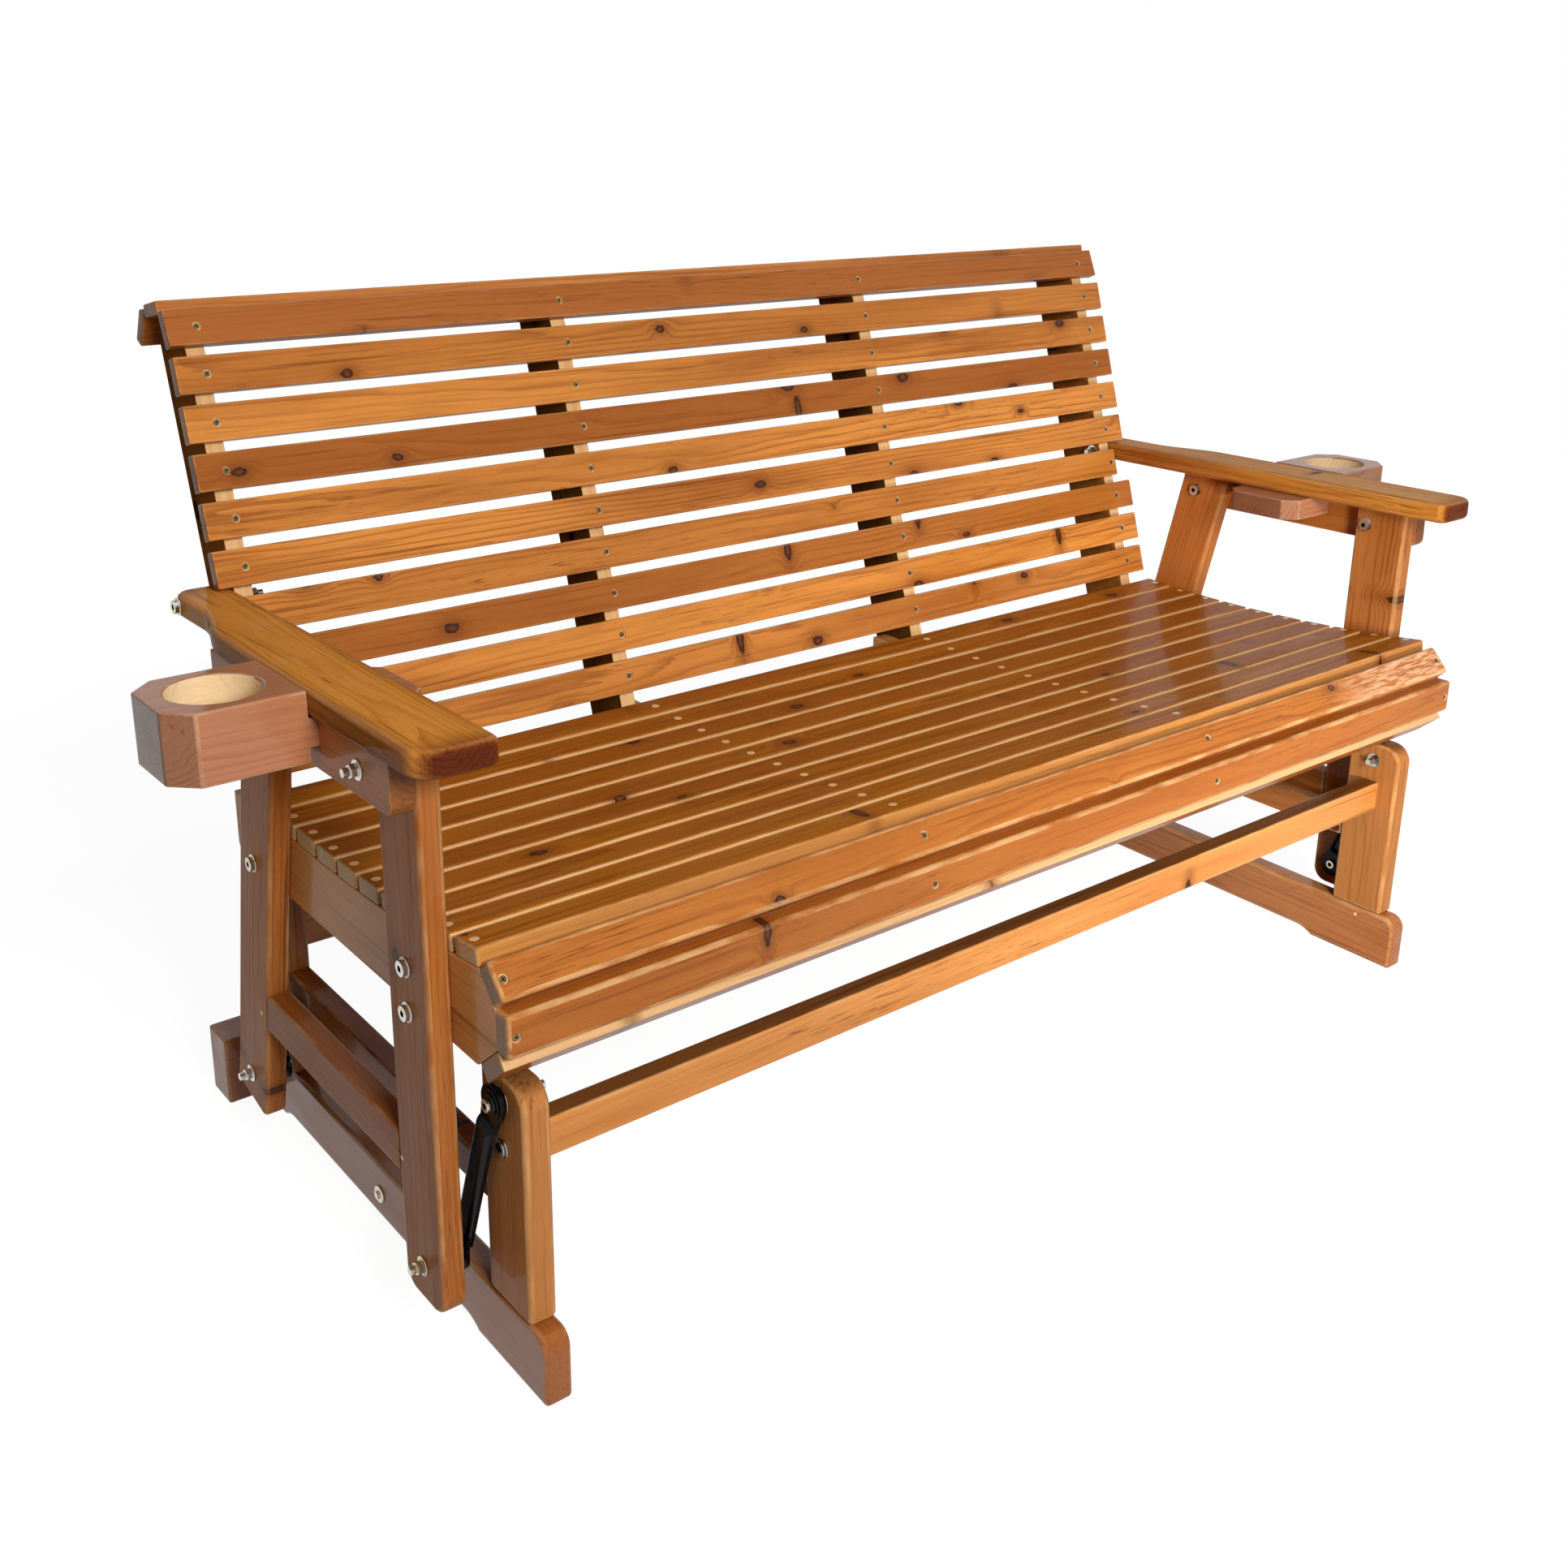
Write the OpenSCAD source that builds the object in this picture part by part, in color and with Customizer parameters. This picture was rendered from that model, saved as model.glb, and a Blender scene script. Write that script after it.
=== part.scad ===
// Slatted wooden glider bench with two cup holders.
// A fixed base carries four steel arms, and the seat hangs from their lower ends.
// Millimetres, +Z up, front towards -Y, +X to the right of someone facing the bench.
// The origin is on the floor under the middle of the overall length and depth.

/* [Timber] */
// Thickness of the base boards
base_t = 28; // [22:1:34]
// Width of the boards on edge: posts and legs
board_w = 74; // [66:1:80]
// Thickness of the seat legs
leg_t = 24; // [20:1:28]
// Thickness of the back slats
slat_t = 14; // [12:0.5:16]
// Thickness of the seat slats
seat_slat_t = 18; // [14:0.5:20]

/* [Base] */
// Distance between the middles of the front and rear posts
post_span = 513; // [490:1:560]
// Height of the post tops
post_top = 312; // [306:1:320]
// Corner radius on the front tops of the posts
post_round = 24; // [10:1:30]
// Height of the feet
foot_h = 72; // [60:1:80]
// How far each foot runs past its posts
foot_toe = 24; // [12:1:36]
// Depth of the hollow under each foot
foot_notch = 8; // [4:1:12]
// Length of the front pad of each foot
foot_pad_front = 125; // [100:1:150]
// Length of the rear pad of each foot
foot_pad_rear = 58; // [45:1:90]
// Depth of the cross blocks behind the feet
beam_d = 48; // [36:1:60]
// Height of the cross blocks behind the feet
beam_h = 82; // [72:1:95]
// How far the cross blocks pass each face of the feet
beam_over = 42; // [20:1:60]
// Thickness of the stretchers and side rails
stretcher_t = 24; // [18:1:28]
// Height of the two long stretchers
stretcher_h = 40; // [32:1:50]
// Height of the underside of the front stretcher
stretcher_z = 219.5; // [206:0.5:226]
// Height of the underside of the rear stretcher
rear_stretcher_z = 211; // [206:0.5:226]
// Height of the side rails
side_rail_h = 36; // [28:1:40]
// Height of the underside of the side rails
side_rail_z = 165; // [140:1:170]

/* [Glide arms] */
// Height of the front upper pivots
upper_pivot_z = 288; // [280:1:290]
// Height of the seat pivots at rest
seat_pivot_z = 98; // [92:1:110]
// How far the front arms lean at rest, measured along the floor
front_lean = 68; // [60:0.5:76]
// How far the rear arms lean at rest, measured along the floor
rear_lean = 44; // [38:0.5:52]
// Shank radius of the pivot bolts
pivot_r = 4; // [3.5:0.5:5]
// Radial clearance of the arms on their bolts
pivot_fit = 0.08; // [0.04:0.01:0.1]
// Extra radius of the rear lower eyes, which take up the slack of the glide
glide_slack = 3; // [2.7:0.1:4]
// Radius of the arm eyes
eye_r = 18; // [16:0.5:22]
// Width of the arm's channel
channel_w = 24; // [20:1:30]

/* [Seat] */
// Length of the seat slats, which sets the length of the bench
seat_len = 1400; // [1200:10:1600]
// Width of the seat slats
slat_w = 40; // [36:0.5:42]
// Spacing of the seat slats
slat_pitch = 46.6; // [45:0.1:48]
// Height of the lowest seat slat
seat_low_z = 426; // [418:1:436]
// Radius of the dish of the seat
seat_dish_r = 2500; // [2200:10:3000]
// Thickness of the seat rails
rail_t = 23; // [18:1:26]
// Height of the underside of the seat rails
rail_z = 337; // [330:1:342]
// Distance of each middle seat rail's inner face from the centre
mid_rail_x = 202; // [150:1:260]
// Gap between the legs and the base frames, where the arms swing
arm_gap = 26; // [26:0.5:30]

/* [Back] */
// How far each end of the back stops short of the seat slats
back_inset = 3; // [0:0.5:8]
// Lean of the back in degrees
back_lean = 17.6; // [14:0.1:20]
// Width of the back slats
back_slat_w = 39; // [36:0.5:42]
// Spacing of the back slats
back_pitch = 50; // [49:0.1:51]
// Thickness of the back uprights
upright_t = 20; // [16:1:24]
// Depth of the back uprights
upright_d = 73; // [64:1:80]

/* [Armrests] */
// Thickness of the armrests
arm_t = 25; // [20:1:28]
// Width of the armrests
arm_w = 76; // [70:1:90]
// Length of the armrests
arm_len = 590; // [570:1:600]
// Rise of the armrests towards the front in degrees
arm_slope = 1.2; // [1:0.1:1.5]
// How far the tail of each armrest is drawn in
arm_waist = 22; // [14:1:24]
// Height of the rails under the armrests
under_rail_h = 50; // [48:1:60]
// Thickness of the rails under the armrests
under_rail_t = 22; // [16:1:26]

/* [Cup holders] */
// Outer length of each cup block
cup_len = 119; // [110:1:130]
// Depth of each cup block from front to rear
cup_d = 112; // [104:1:120]
// Height of each cup block
cup_h = 66; // [58:1:72]
// Radius of the cup well
cup_r = 41; // [36:0.5:43]
// Depth of the cup well
cup_well = 50; // [40:1:54]
// Thickness of the tongue under the armrest
tongue_t = 27; // [20:1:28]

/* [Hidden] */
SIDES = [[-1, "left"], [1, "right"]];
BASE_PAIRS = ["foot", "front_post", "rear_post", "front_glide_arm", "rear_glide_arm"];
SEAT_PAIRS = ["seat_end_rail", "front_leg", "rear_leg", "armrest", "cup_holder"];
SLATS = 10;
$fn = 48;
// Depths, called u, are counted back from the middle of the base until the last step.
clear = 0.3;
far = 2000;

// Base
upper_u = post_span / 2;
foot_len = post_span + board_w + 2 * foot_toe;
foot_round = 18;
notch_run = 26;
notch_r = (pow(notch_run, 2) + pow(foot_notch, 2)) / (2 * foot_notch);
seat_end = seat_len / 2;
leg_outer = seat_end + leg_t;
post_outer = seat_end - arm_gap;
post_inner = post_outer - base_t;
side_rail_inset = (base_t - stretcher_t) / 2;

// Glide arms: a front and a rear pair of equal reach
front_pivot_u = front_lean - upper_u;
rear_pivot_u = upper_u - rear_lean;
arm_reach = norm([front_lean, upper_pivot_z - seat_pivot_z]);
rear_upper_z = seat_pivot_z + sqrt(pow(arm_reach, 2) - pow(rear_lean, 2));
eye_t = 4;
channel_h = 8;
channel_wall = 2.5;
fold_r = 5;
shoulder_run = 7;
neck_out = 2;
neck_run = 12;
spacer_r = 11;
spacer_gap = 0.4;
eye_x = post_outer + 6;
channel_x = eye_x + 2;
low_eye_x = channel_x + channel_h - eye_t;
ring_h = 1.2;
ring_r = [15, 11];
pivot_head_r = 6;
pivot_head_t = 4;
pivot_washer_r = 13;

// Seat: the slats lie on a dish, then turn down over three front facets
seat_low_u = 76;
seat_rear_u = 166.6;
rail_rear_u = 256;
rail_round = 18;
nose_tilt = 46.7;
front_tilt = 90;
under_tilt = 138.7;
nose_w = 37.5;
nose_seat = [-0.13, 0.89];
front_seat = [-0.7, -0.65];
under_seat = [1.48, 1.62];

// Back: s runs up the slats' front plane and n straight back from it
back_gap = [14.5, 30.4];
crest_set = 3.5;
crest_turn = 6.2;
cap_at = [482.8, 38];
cap_turn = 5.9;
cap_w = 38;
rear_slat_at = [470, 85.2];
rear_slat_turn = -45.4;
short_slat = 7;
short_slat_gap = 4;

// Legs and armrests
rear_leg_lean = 12.5;
front_leg_foot = 38.5;
front_foot_round = 20;
rear_leg_foot = 36;
rear_foot_round = 8;
leg_rail_z = 178;
leg_rail_h = 44;
arm_lift = 0.5;
arm_tail = 30;
tail_round = 20;
arm_round = [28, 12];
waist_from = -158;
waist_to = -52;
waist_steps = 12;
under_rail_tail = 58;
under_round = 22;
cup_u = -35;
cup_cut = 23;
tongue_cut = 18;
tongue_past = 38;
arm_inner = seat_end - rail_t;
arm_outer = arm_inner + arm_w;

// Fasteners
bolt_r = 4;
bolt_fit = 0.3;
washer_r = 9.5;
washer_t = 1.6;
head_r = 7.5;
head_t = 4.5;
nut_r = 6.6;
nut_t = 6.5;
thread_past = 6;
stretcher_bolt_len = 60;
leg_bolt_z = [404, 360.5];
rear_leg_bolt_z = 372;
arm_bolt_past = [22, 11];
tail_bolt_in = 19;

function along(a) = [cos(a), sin(a)];
function inward(a) = [sin(a), -cos(a)];
// Corners of a slat from its outer face's middle and direction, outer face first
function slat_box(at, a, w, t = slat_t) = [
    at - along(a) * w / 2,
    at + along(a) * w / 2,
    at + along(a) * w / 2 + inward(a) * t,
    at - along(a) * w / 2 + inward(a) * t
];
// Corners of a front slat from its top outer corner
function front_box(top, a, w) = slat_box(top - along(a) * w / 2, a, w, seat_slat_t);
// Where the line through p along d meets the line through q along e
function meet(p, d, q, e) =
    p + d * ((q[0] - p[0]) * e[1] - (q[1] - p[1]) * e[0]) / (d[0] * e[1] - d[1] * e[0]);

function seat_u(k) = seat_rear_u - slat_pitch * (k - 1);
function seat_tilt(k) = asin((seat_u(k) - seat_low_u) / seat_dish_r);
function seat_z(k) = seat_low_z + seat_dish_r * (1 - cos(seat_tilt(k)));
function seat_pts(k) = slat_box([seat_u(k), seat_z(k)], seat_tilt(k), slat_w, seat_slat_t);
// Each front slat's inner top corner sits on the inner lower corner of the slat above
nose_pts = front_box(seat_pts(SLATS)[3] + nose_seat - inward(nose_tilt) * seat_slat_t, nose_tilt, nose_w);
front_pts = front_box(nose_pts[3] + front_seat - inward(front_tilt) * seat_slat_t, front_tilt, slat_w);
under_pts = front_box(front_pts[3] + under_seat - inward(under_tilt) * seat_slat_t, under_tilt, slat_w);

back_at = seat_pts(1)[1] + back_gap;
back_dir = 90 - back_lean;
back_up = along(back_dir);
function on_back(s, n) = back_at + s * back_up + n * inward(back_dir);
function back_slat_pts(k) = slat_box(
    on_back((SLATS - k) * back_pitch, k == 1 ? crest_set : 0),
    back_dir - (k == 1 ? crest_turn : 0),
    back_slat_w
);
cap_pts = slat_box(on_back(cap_at[0], cap_at[1]), cap_turn - back_lean, cap_w);
rear_slat_pts = slat_box(on_back(rear_slat_at[0], rear_slat_at[1]), rear_slat_turn - back_lean, cap_w);
upright_rear = slat_t + upright_d;

// The armrests' top face starts just under the sixth back slat and rises forwards
arm_at = on_back((SLATS - 6) * back_pitch - back_slat_w / 2, slat_t) - [0, arm_lift];
function arm_v(u) = (u - arm_at[0]) / cos(arm_slope);
function under_arm_z(u) = arm_at[1] - (u - arm_at[0]) * tan(arm_slope) - arm_t / cos(arm_slope);
function rear_leg_u(z) = rear_pivot_u - (z - seat_pivot_z) * tan(rear_leg_lean);
arm_bolt_w = -arm_t - under_rail_h / 2;
arm_bolt_v = [
    arm_v(front_pivot_u + arm_bolt_past[0]),
    arm_v(rear_leg_u(under_arm_z(0) + arm_bolt_w / 2) + arm_bolt_past[1])
];
under_rail_front = arm_v(front_pivot_u - board_w / 2);
under_rail_rear = arm_v(rear_leg_u(under_arm_z(0)) + under_rail_tail);
arm_front = arm_tail - arm_len;
cup_v = arm_v(cup_u);

// The origin stands under the middle of the overall depth.
depth_front = min(-foot_len / 2, front_pts[0][0]);
depth_rear = max([for (p = concat(rear_slat_pts, [[foot_len / 2 + beam_d, 0]])) p[0]]);
origin_u = (depth_front + depth_rear) / 2;

// A board t thick, cut to a side outline, standing outwards from x
module side_board(x, t) {
    translate([x, 0, 0]) rotate([90, 0, 90]) linear_extrude(t) children();
}
module both_sides() {
    children();
    mirror([1, 0, 0]) children();
}
module on_side(side) {
    if (side < 0) mirror([1, 0, 0]) children();
    else children();
}
// What a rounded corner loses, for a corner at x, y whose edges leave along turn and turn + 90
module corner(x, y, turn, r) {
    translate([x, y]) rotate(turn) difference() {
        translate([-1, -1]) square(r + 1);
        translate([r, r]) circle(r);
    }
}
module cross_bore(u, z, r = bolt_r + bolt_fit) {
    translate([0, u, z]) rotate([0, 90, 0]) cylinder(far, r, r);
}
module rod(x0, x1, r, sides = 48) {
    translate([x0, 0, 0]) rotate([0, 90, 0]) cylinder(x1 - x0, r, r, $fn = sides);
}
// A bolt through the faces at x0 and x1, its head outside or inside, with washers and a nut
module through_bolt(x0, x1, head_outside) {
    nut_x = head_outside ? x0 - washer_t - nut_t : x1 + washer_t;
    head_x = head_outside ? x1 + washer_t : x0 - washer_t - head_t;
    shank0 = head_outside ? nut_x - thread_past : head_x;
    shank1 = head_outside ? head_x + head_t : nut_x + nut_t + thread_past;
    rod(shank0, shank1, bolt_r);
    rod(x0 - washer_t, x0, washer_r);
    rod(x1, x1 + washer_t, washer_r);
    rod(head_x, head_x + head_t, head_r);
    rod(nut_x, nut_x + nut_t, nut_r, 6);
}

module foot(side) color("sienna") on_side(side) difference() {
    side_board(post_inner, base_t) difference() {
        translate([-foot_len / 2, 0]) square([foot_len, foot_h]);
        corner(-foot_len / 2, foot_h, -90, foot_round);
        notch_from = foot_pad_front - foot_len / 2 + notch_run;
        notch_to = foot_len / 2 - foot_pad_rear - notch_run;
        for (u = [notch_from, notch_to]) translate([u, foot_notch - notch_r]) circle(notch_r, $fn = 96);
        translate([notch_from, -1]) square([notch_to - notch_from, foot_notch + 1]);
    }
}

module post_outline(mid, front) difference() {
    translate([mid - board_w / 2, foot_h]) square([board_w, post_top - foot_h]);
    if (front) corner(mid - board_w / 2, post_top, -90, post_round);
    else corner(mid + board_w / 2, post_top, 180, post_round);
}
module post(side, mid, pivot_z, bolt_z) color("peru") on_side(side) difference() {
    side_board(post_inner, base_t) post_outline(mid, mid < 0);
    cross_bore(mid, pivot_z);
    cross_bore(mid, bolt_z);
}

module base_side_rails() color("sienna") both_sides()
    side_board(post_inner + side_rail_inset, stretcher_t)
        translate([-upper_u + board_w / 2, side_rail_z]) square([post_span - board_w, side_rail_h]);

front_bolt_z = stretcher_z + stretcher_h / 2;
rear_bolt_z = rear_stretcher_z + stretcher_h / 2;
module stretcher(mid, bolt_z) color("peru") difference() {
    translate([-post_inner, mid - stretcher_t / 2, bolt_z - stretcher_h / 2])
        cube([2 * post_inner, stretcher_t, stretcher_h]);
    both_sides() translate([post_inner - stretcher_bolt_len, mid, bolt_z])
        rod(0, far, bolt_r + bolt_fit);
}

// The beam behind the feet is cut down to one short cross block at each foot.
module rear_ground_beam() color("saddlebrown") both_sides()
    translate([post_inner - beam_over, foot_len / 2, 0]) cube([base_t + 2 * beam_over, beam_d, beam_h]);

module stretcher_bolts() color("silver") both_sides()
    for (at = [[-upper_u, front_bolt_z], [upper_u, rear_bolt_z]]) translate([0, at[0], at[1]]) {
        rod(post_inner - stretcher_bolt_len + 2, post_outer + washer_t, bolt_r);
        rod(post_outer, post_outer + washer_t, washer_r);
        rod(post_outer + washer_t, post_outer + washer_t + head_t / 2, head_r);
    }

// A pressed arm hanging from its upper pivot: flat eyes joined by a folded channel open to the base
module neck(eye, channel) polygon([
    [-eye_r + neck_out, -eye], [-channel_w / 2, -channel], [channel_w / 2, -channel], [eye_r - neck_out, -eye]
]);
module channel(inset, from, to) intersection() {
    translate([0, 0, -to]) linear_extrude(to - from) difference() {
        translate([channel_x - (inset > 0 ? 1 : 0), inset - channel_w / 2])
            square([channel_h - inset + (inset > 0 ? 1 : 0), channel_w - 2 * inset]);
        corner(channel_x + channel_h - inset, channel_w / 2 - inset, 180, fold_r - inset);
        corner(channel_x + channel_h - inset, inset - channel_w / 2, 90, fold_r - inset);
    }
    translate([0, far / 2, 0]) rotate([90, 0, 0]) linear_extrude(far) polygon([
        [channel_x - 2, -from], [channel_x + eye_t / 2, -from], [channel_x + channel_h, -from - shoulder_run],
        [channel_x + channel_h, -to], [channel_x - 2, -to]
    ]);
}
module glide_arm(side, at, low, low_r) color([0.06, 0.06, 0.07]) on_side(side)
    translate([0, at[0], at[1]]) rotate([atan2(low[0] - at[0], at[1] - low[1]), 0, 0]) difference() {
        union() {
            side_board(eye_x, eye_t) {
                circle(eye_r);
                neck(0, eye_r + neck_run);
            }
            rod(post_outer + washer_t + spacer_gap, eye_x + 1, spacer_r);
            for (i = [0, 1]) rod(eye_x + eye_t - 1, eye_x + eye_t + (i + 1) * ring_h, ring_r[i]);
            channel(0, eye_r + neck_run / 2, arm_reach - eye_r + neck_out);
            side_board(low_eye_x, eye_t) translate([0, -arm_reach]) {
                circle(eye_r);
                mirror([0, 1]) neck(0, eye_r + neck_run);
            }
            translate([0, 0, -arm_reach]) rod(low_eye_x + eye_t - 1, seat_end - spacer_gap, spacer_r);
        }
        channel(channel_wall, eye_r + neck_run + channel_wall, arm_reach - eye_r - neck_out);
        rod(0, far, pivot_r + pivot_fit);
        translate([0, 0, -arm_reach]) rod(0, far, low_r);
    }
front_upper = [-upper_u, upper_pivot_z];
rear_upper = [upper_u, rear_upper_z];
front_low = [front_pivot_u, seat_pivot_z];
rear_low = [rear_pivot_u, seat_pivot_z];

module upper_pivot_bolts() color("silver") both_sides() for (p = [front_upper, rear_upper])
    translate([0, p[0], p[1]]) {
        head_x = eye_x + eye_t + 2 * ring_h + spacer_gap;
        rod(post_inner - washer_t - nut_t - thread_past, head_x + 1, pivot_r);
        rod(head_x, head_x + pivot_head_t, pivot_head_r);
        rod(post_outer, post_outer + washer_t, pivot_washer_r);
        rod(post_inner - washer_t, post_inner, washer_r);
        rod(post_inner - washer_t - nut_t, post_inner - washer_t, nut_r, 6);
    }
module lower_pivot_bolts() color("silver") both_sides() for (p = [front_low, rear_low])
    translate([0, p[0], p[1]]) {
        head_x = low_eye_x - spacer_gap - pivot_head_t;
        rod(head_x, leg_outer + washer_t + nut_t + thread_past, pivot_r);
        rod(head_x, head_x + pivot_head_t, pivot_head_r);
        rod(leg_outer, leg_outer + washer_t, washer_r);
        rod(leg_outer + washer_t, leg_outer + washer_t + nut_t, nut_r, 6);
    }

// The rails' top is a chain of flats, one under each slat
module rail_outline() difference() {
    under = [under_pts[2], along(under_tilt)];
    front = [front_pts[2], along(front_tilt)];
    nose = [nose_pts[2], along(nose_tilt)];
    last = seat_pts(SLATS);
    polygon(concat(
        [[rail_rear_u, rail_z], meet([0, rail_z], [1, 0], under[0], under[1])],
        [meet(under[0], under[1], front[0], front[1]), meet(front[0], front[1], nose[0], nose[1])],
        [meet(nose[0], nose[1], last[3], last[2] - last[3])],
        [for (k = [SLATS:-1:1], c = [3, 2]) if (k < SLATS || c == 2) seat_pts(k)[c]],
        [[rail_rear_u, seat_pts(1)[2][1]]]
    ));
    corner(rail_rear_u, rail_z, 90, rail_round);
}
module leg_bores() {
    for (z = leg_bolt_z) cross_bore(front_pivot_u, z);
    cross_bore(rear_leg_u(rear_leg_bolt_z), rear_leg_bolt_z);
}
module seat_end_rail(side) color("burlywood") on_side(side) difference() {
    side_board(arm_inner, rail_t) rail_outline();
    leg_bores();
}
module seat_middle_rails() color("burlywood") both_sides()
    side_board(mid_rail_x, rail_t) rail_outline();

module slat(pts, half, tone = "peru") color(tone) side_board(-half, 2 * half) polygon(pts);
module seat_slat(k) slat(seat_pts(k), seat_end);
module back_slat(k) slat(back_slat_pts(k), k == short_slat ? arm_inner - short_slat_gap
    : seat_end - back_inset);

module upright_outline() {
    front = on_back(0, slat_t);
    rear = on_back(0, upright_rear);
    first = back_slat_pts(1);
    polygon([
        meet(front, back_up, [0, rail_z], [1, 0]),
        meet(front, back_up, first[3], first[2] - first[3]),
        meet(first[3], first[2] - first[3], cap_pts[3], cap_pts[2] - cap_pts[3]),
        meet(cap_pts[3], cap_pts[2] - cap_pts[3], rear_slat_pts[3], rear_slat_pts[2] - rear_slat_pts[3]),
        meet(rear_slat_pts[3], rear_slat_pts[2] - rear_slat_pts[3], rear, back_up),
        meet(rear, back_up, [0, rail_z], [1, 0])
    ]);
}
module back_end_uprights() color("burlywood") both_sides() difference() {
    side_board(arm_inner - upright_t, upright_t) upright_outline();
    in_arm_frame() cross_bore(arm_tail - tail_bolt_in, -arm_t / 2);
}
module back_middle_uprights() color("burlywood") both_sides()
    side_board(mid_rail_x + rail_t, upright_t) upright_outline();

module under_arm_region() polygon([
    [-far, 0], [far, 0], [far, under_arm_z(far)], [-far, under_arm_z(-far)]
]);
// A leg's side outline, turned about its pivot and rounded at its foot
module leg_outline(mid, lean, foot, r) translate([mid, seat_pivot_z]) rotate(lean) difference() {
    translate([-board_w / 2, -foot]) square([board_w, far]);
    corner(-board_w / 2, -foot, 0, r);
    corner(board_w / 2, -foot, 90, r);
}
module arm_bolt_bores() in_arm_frame() for (v = arm_bolt_v) cross_bore(v, arm_bolt_w);
module front_leg(side) color("sienna") on_side(side) difference() {
    side_board(seat_end, leg_t) intersection() {
        leg_outline(front_pivot_u, 0, front_leg_foot, front_foot_round);
        under_arm_region();
    }
    cross_bore(front_pivot_u, seat_pivot_z);
    leg_bores();
    arm_bolt_bores();
}
module rear_leg_outline() leg_outline(rear_pivot_u, rear_leg_lean, rear_leg_foot, rear_foot_round);
module rear_leg(side) color("sienna") on_side(side) difference() {
    side_board(seat_end, leg_t) intersection() {
        rear_leg_outline();
        under_arm_region();
    }
    cross_bore(rear_pivot_u, seat_pivot_z);
    leg_bores();
    arm_bolt_bores();
}
module leg_rails() color("sienna") both_sides() side_board(seat_end, leg_t) difference() {
    translate([front_pivot_u + board_w / 2, leg_rail_z])
        square([rear_pivot_u - front_pivot_u - board_w / 2, leg_rail_h]);
    rear_leg_outline();
}

// The armrest frame: v runs back along the top face and w stands square to it
module in_arm_frame() {
    translate([0, arm_at[0], arm_at[1]]) rotate([-arm_slope, 0, 0]) children();
}
module armrest(side) color("peru") on_side(side) in_arm_frame() difference() {
    translate([0, 0, -arm_t]) linear_extrude(arm_t) difference() {
        polygon(concat(
            [[arm_inner, arm_tail], [arm_inner, arm_front], [arm_outer, arm_front]],
            [for (i = [0:waist_steps]) let (t = i / waist_steps)
                [arm_outer - arm_waist * (1 - cos(180 * t)) / 2, waist_from + (waist_to - waist_from) * t]],
            [[arm_outer - arm_waist, arm_tail]]
        ));
        corner(arm_outer - arm_waist, arm_tail, 180, tail_round);
        corner(arm_outer, arm_front, 90, arm_round[0]);
        corner(arm_inner, arm_front, 0, arm_round[1]);
    }
    cross_bore(arm_tail - tail_bolt_in, -arm_t / 2);
}
module under_arm_rails() color("sienna") both_sides() in_arm_frame() difference() {
    side_board(leg_outer, under_rail_t) difference() {
        translate([under_rail_front, -arm_t - under_rail_h])
            square([under_rail_rear - under_rail_front, under_rail_h]);
        corner(under_rail_rear, -arm_t - under_rail_h, 90, under_round);
        corner(under_rail_front, -arm_t - under_rail_h, 0, under_round / 2);
        translate([cup_v - cup_d / 2 - clear, -arm_t - tongue_t - clear])
            square([cup_d + 2 * clear, tongue_t + clear + 1]);
    }
    for (v = arm_bolt_v) cross_bore(v, arm_bolt_w);
}
module cup_holder(side) color("sienna") on_side(side) in_arm_frame() translate([0, cup_v, 0])
    difference() {
        half = cup_d / 2;
        outer = arm_outer + cup_len;
        inner = arm_inner - tongue_past;
        union() {
            translate([0, 0, -cup_h]) linear_extrude(cup_h) polygon([
                [arm_outer, -half], [outer - cup_cut, -half], [outer, -half + cup_cut],
                [outer, half - cup_cut], [outer - cup_cut, half], [arm_outer, half]
            ]);
            translate([0, 0, -arm_t - tongue_t]) linear_extrude(tongue_t) polygon([
                [arm_outer + 1, -half], [arm_outer + 1, half], [inner + tongue_cut, half],
                [inner, half - tongue_cut], [inner, -half + tongue_cut], [inner + tongue_cut, -half]
            ]);
        }
        translate([arm_outer + cup_len / 2, 0, -cup_well]) cylinder(far, cup_r, cup_r, $fn = 96);
    }

module leg_bolts() color("silver") both_sides() {
    for (z = leg_bolt_z) translate([0, front_pivot_u, z]) through_bolt(arm_inner, leg_outer, true);
    translate([0, rear_leg_u(rear_leg_bolt_z), rear_leg_bolt_z])
        through_bolt(arm_inner, leg_outer, true);
}
module armrest_bolts() color("silver") both_sides() in_arm_frame() {
    for (v = arm_bolt_v) translate([0, v, arm_bolt_w])
        through_bolt(seat_end, leg_outer + under_rail_t, false);
    translate([0, arm_tail - tail_bolt_in, -arm_t / 2])
        through_bolt(arm_inner - upright_t, arm_outer - arm_waist, true);
}

module show(name) {
    translate([0, -origin_u, 0]) children();
}
for (s = SIDES) {
    show(str(s[1], "_foot")) foot(s[0]);
    show(str(s[1], "_front_post")) post(s[0], -upper_u, upper_pivot_z, front_bolt_z);
    show(str(s[1], "_rear_post")) post(s[0], upper_u, rear_upper_z, rear_bolt_z);
    show(str(s[1], "_front_glide_arm")) glide_arm(s[0], front_upper, front_low, pivot_r + pivot_fit);
    show(str(s[1], "_rear_glide_arm")) glide_arm(s[0], rear_upper, rear_low, pivot_r + glide_slack);
    show(str(s[1], "_seat_end_rail")) seat_end_rail(s[0]);
    show(str(s[1], "_front_leg")) front_leg(s[0]);
    show(str(s[1], "_rear_leg")) rear_leg(s[0]);
    show(str(s[1], "_armrest")) armrest(s[0]);
    show(str(s[1], "_cup_holder")) cup_holder(s[0]);
}
for (k = [1:SLATS]) {
    show(str("seat_slat_", k)) seat_slat(k);
    show(str("back_slat_", k)) back_slat(k);
}
show("base_side_rails") base_side_rails();
show("front_stretcher") stretcher(-upper_u, front_bolt_z);
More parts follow.
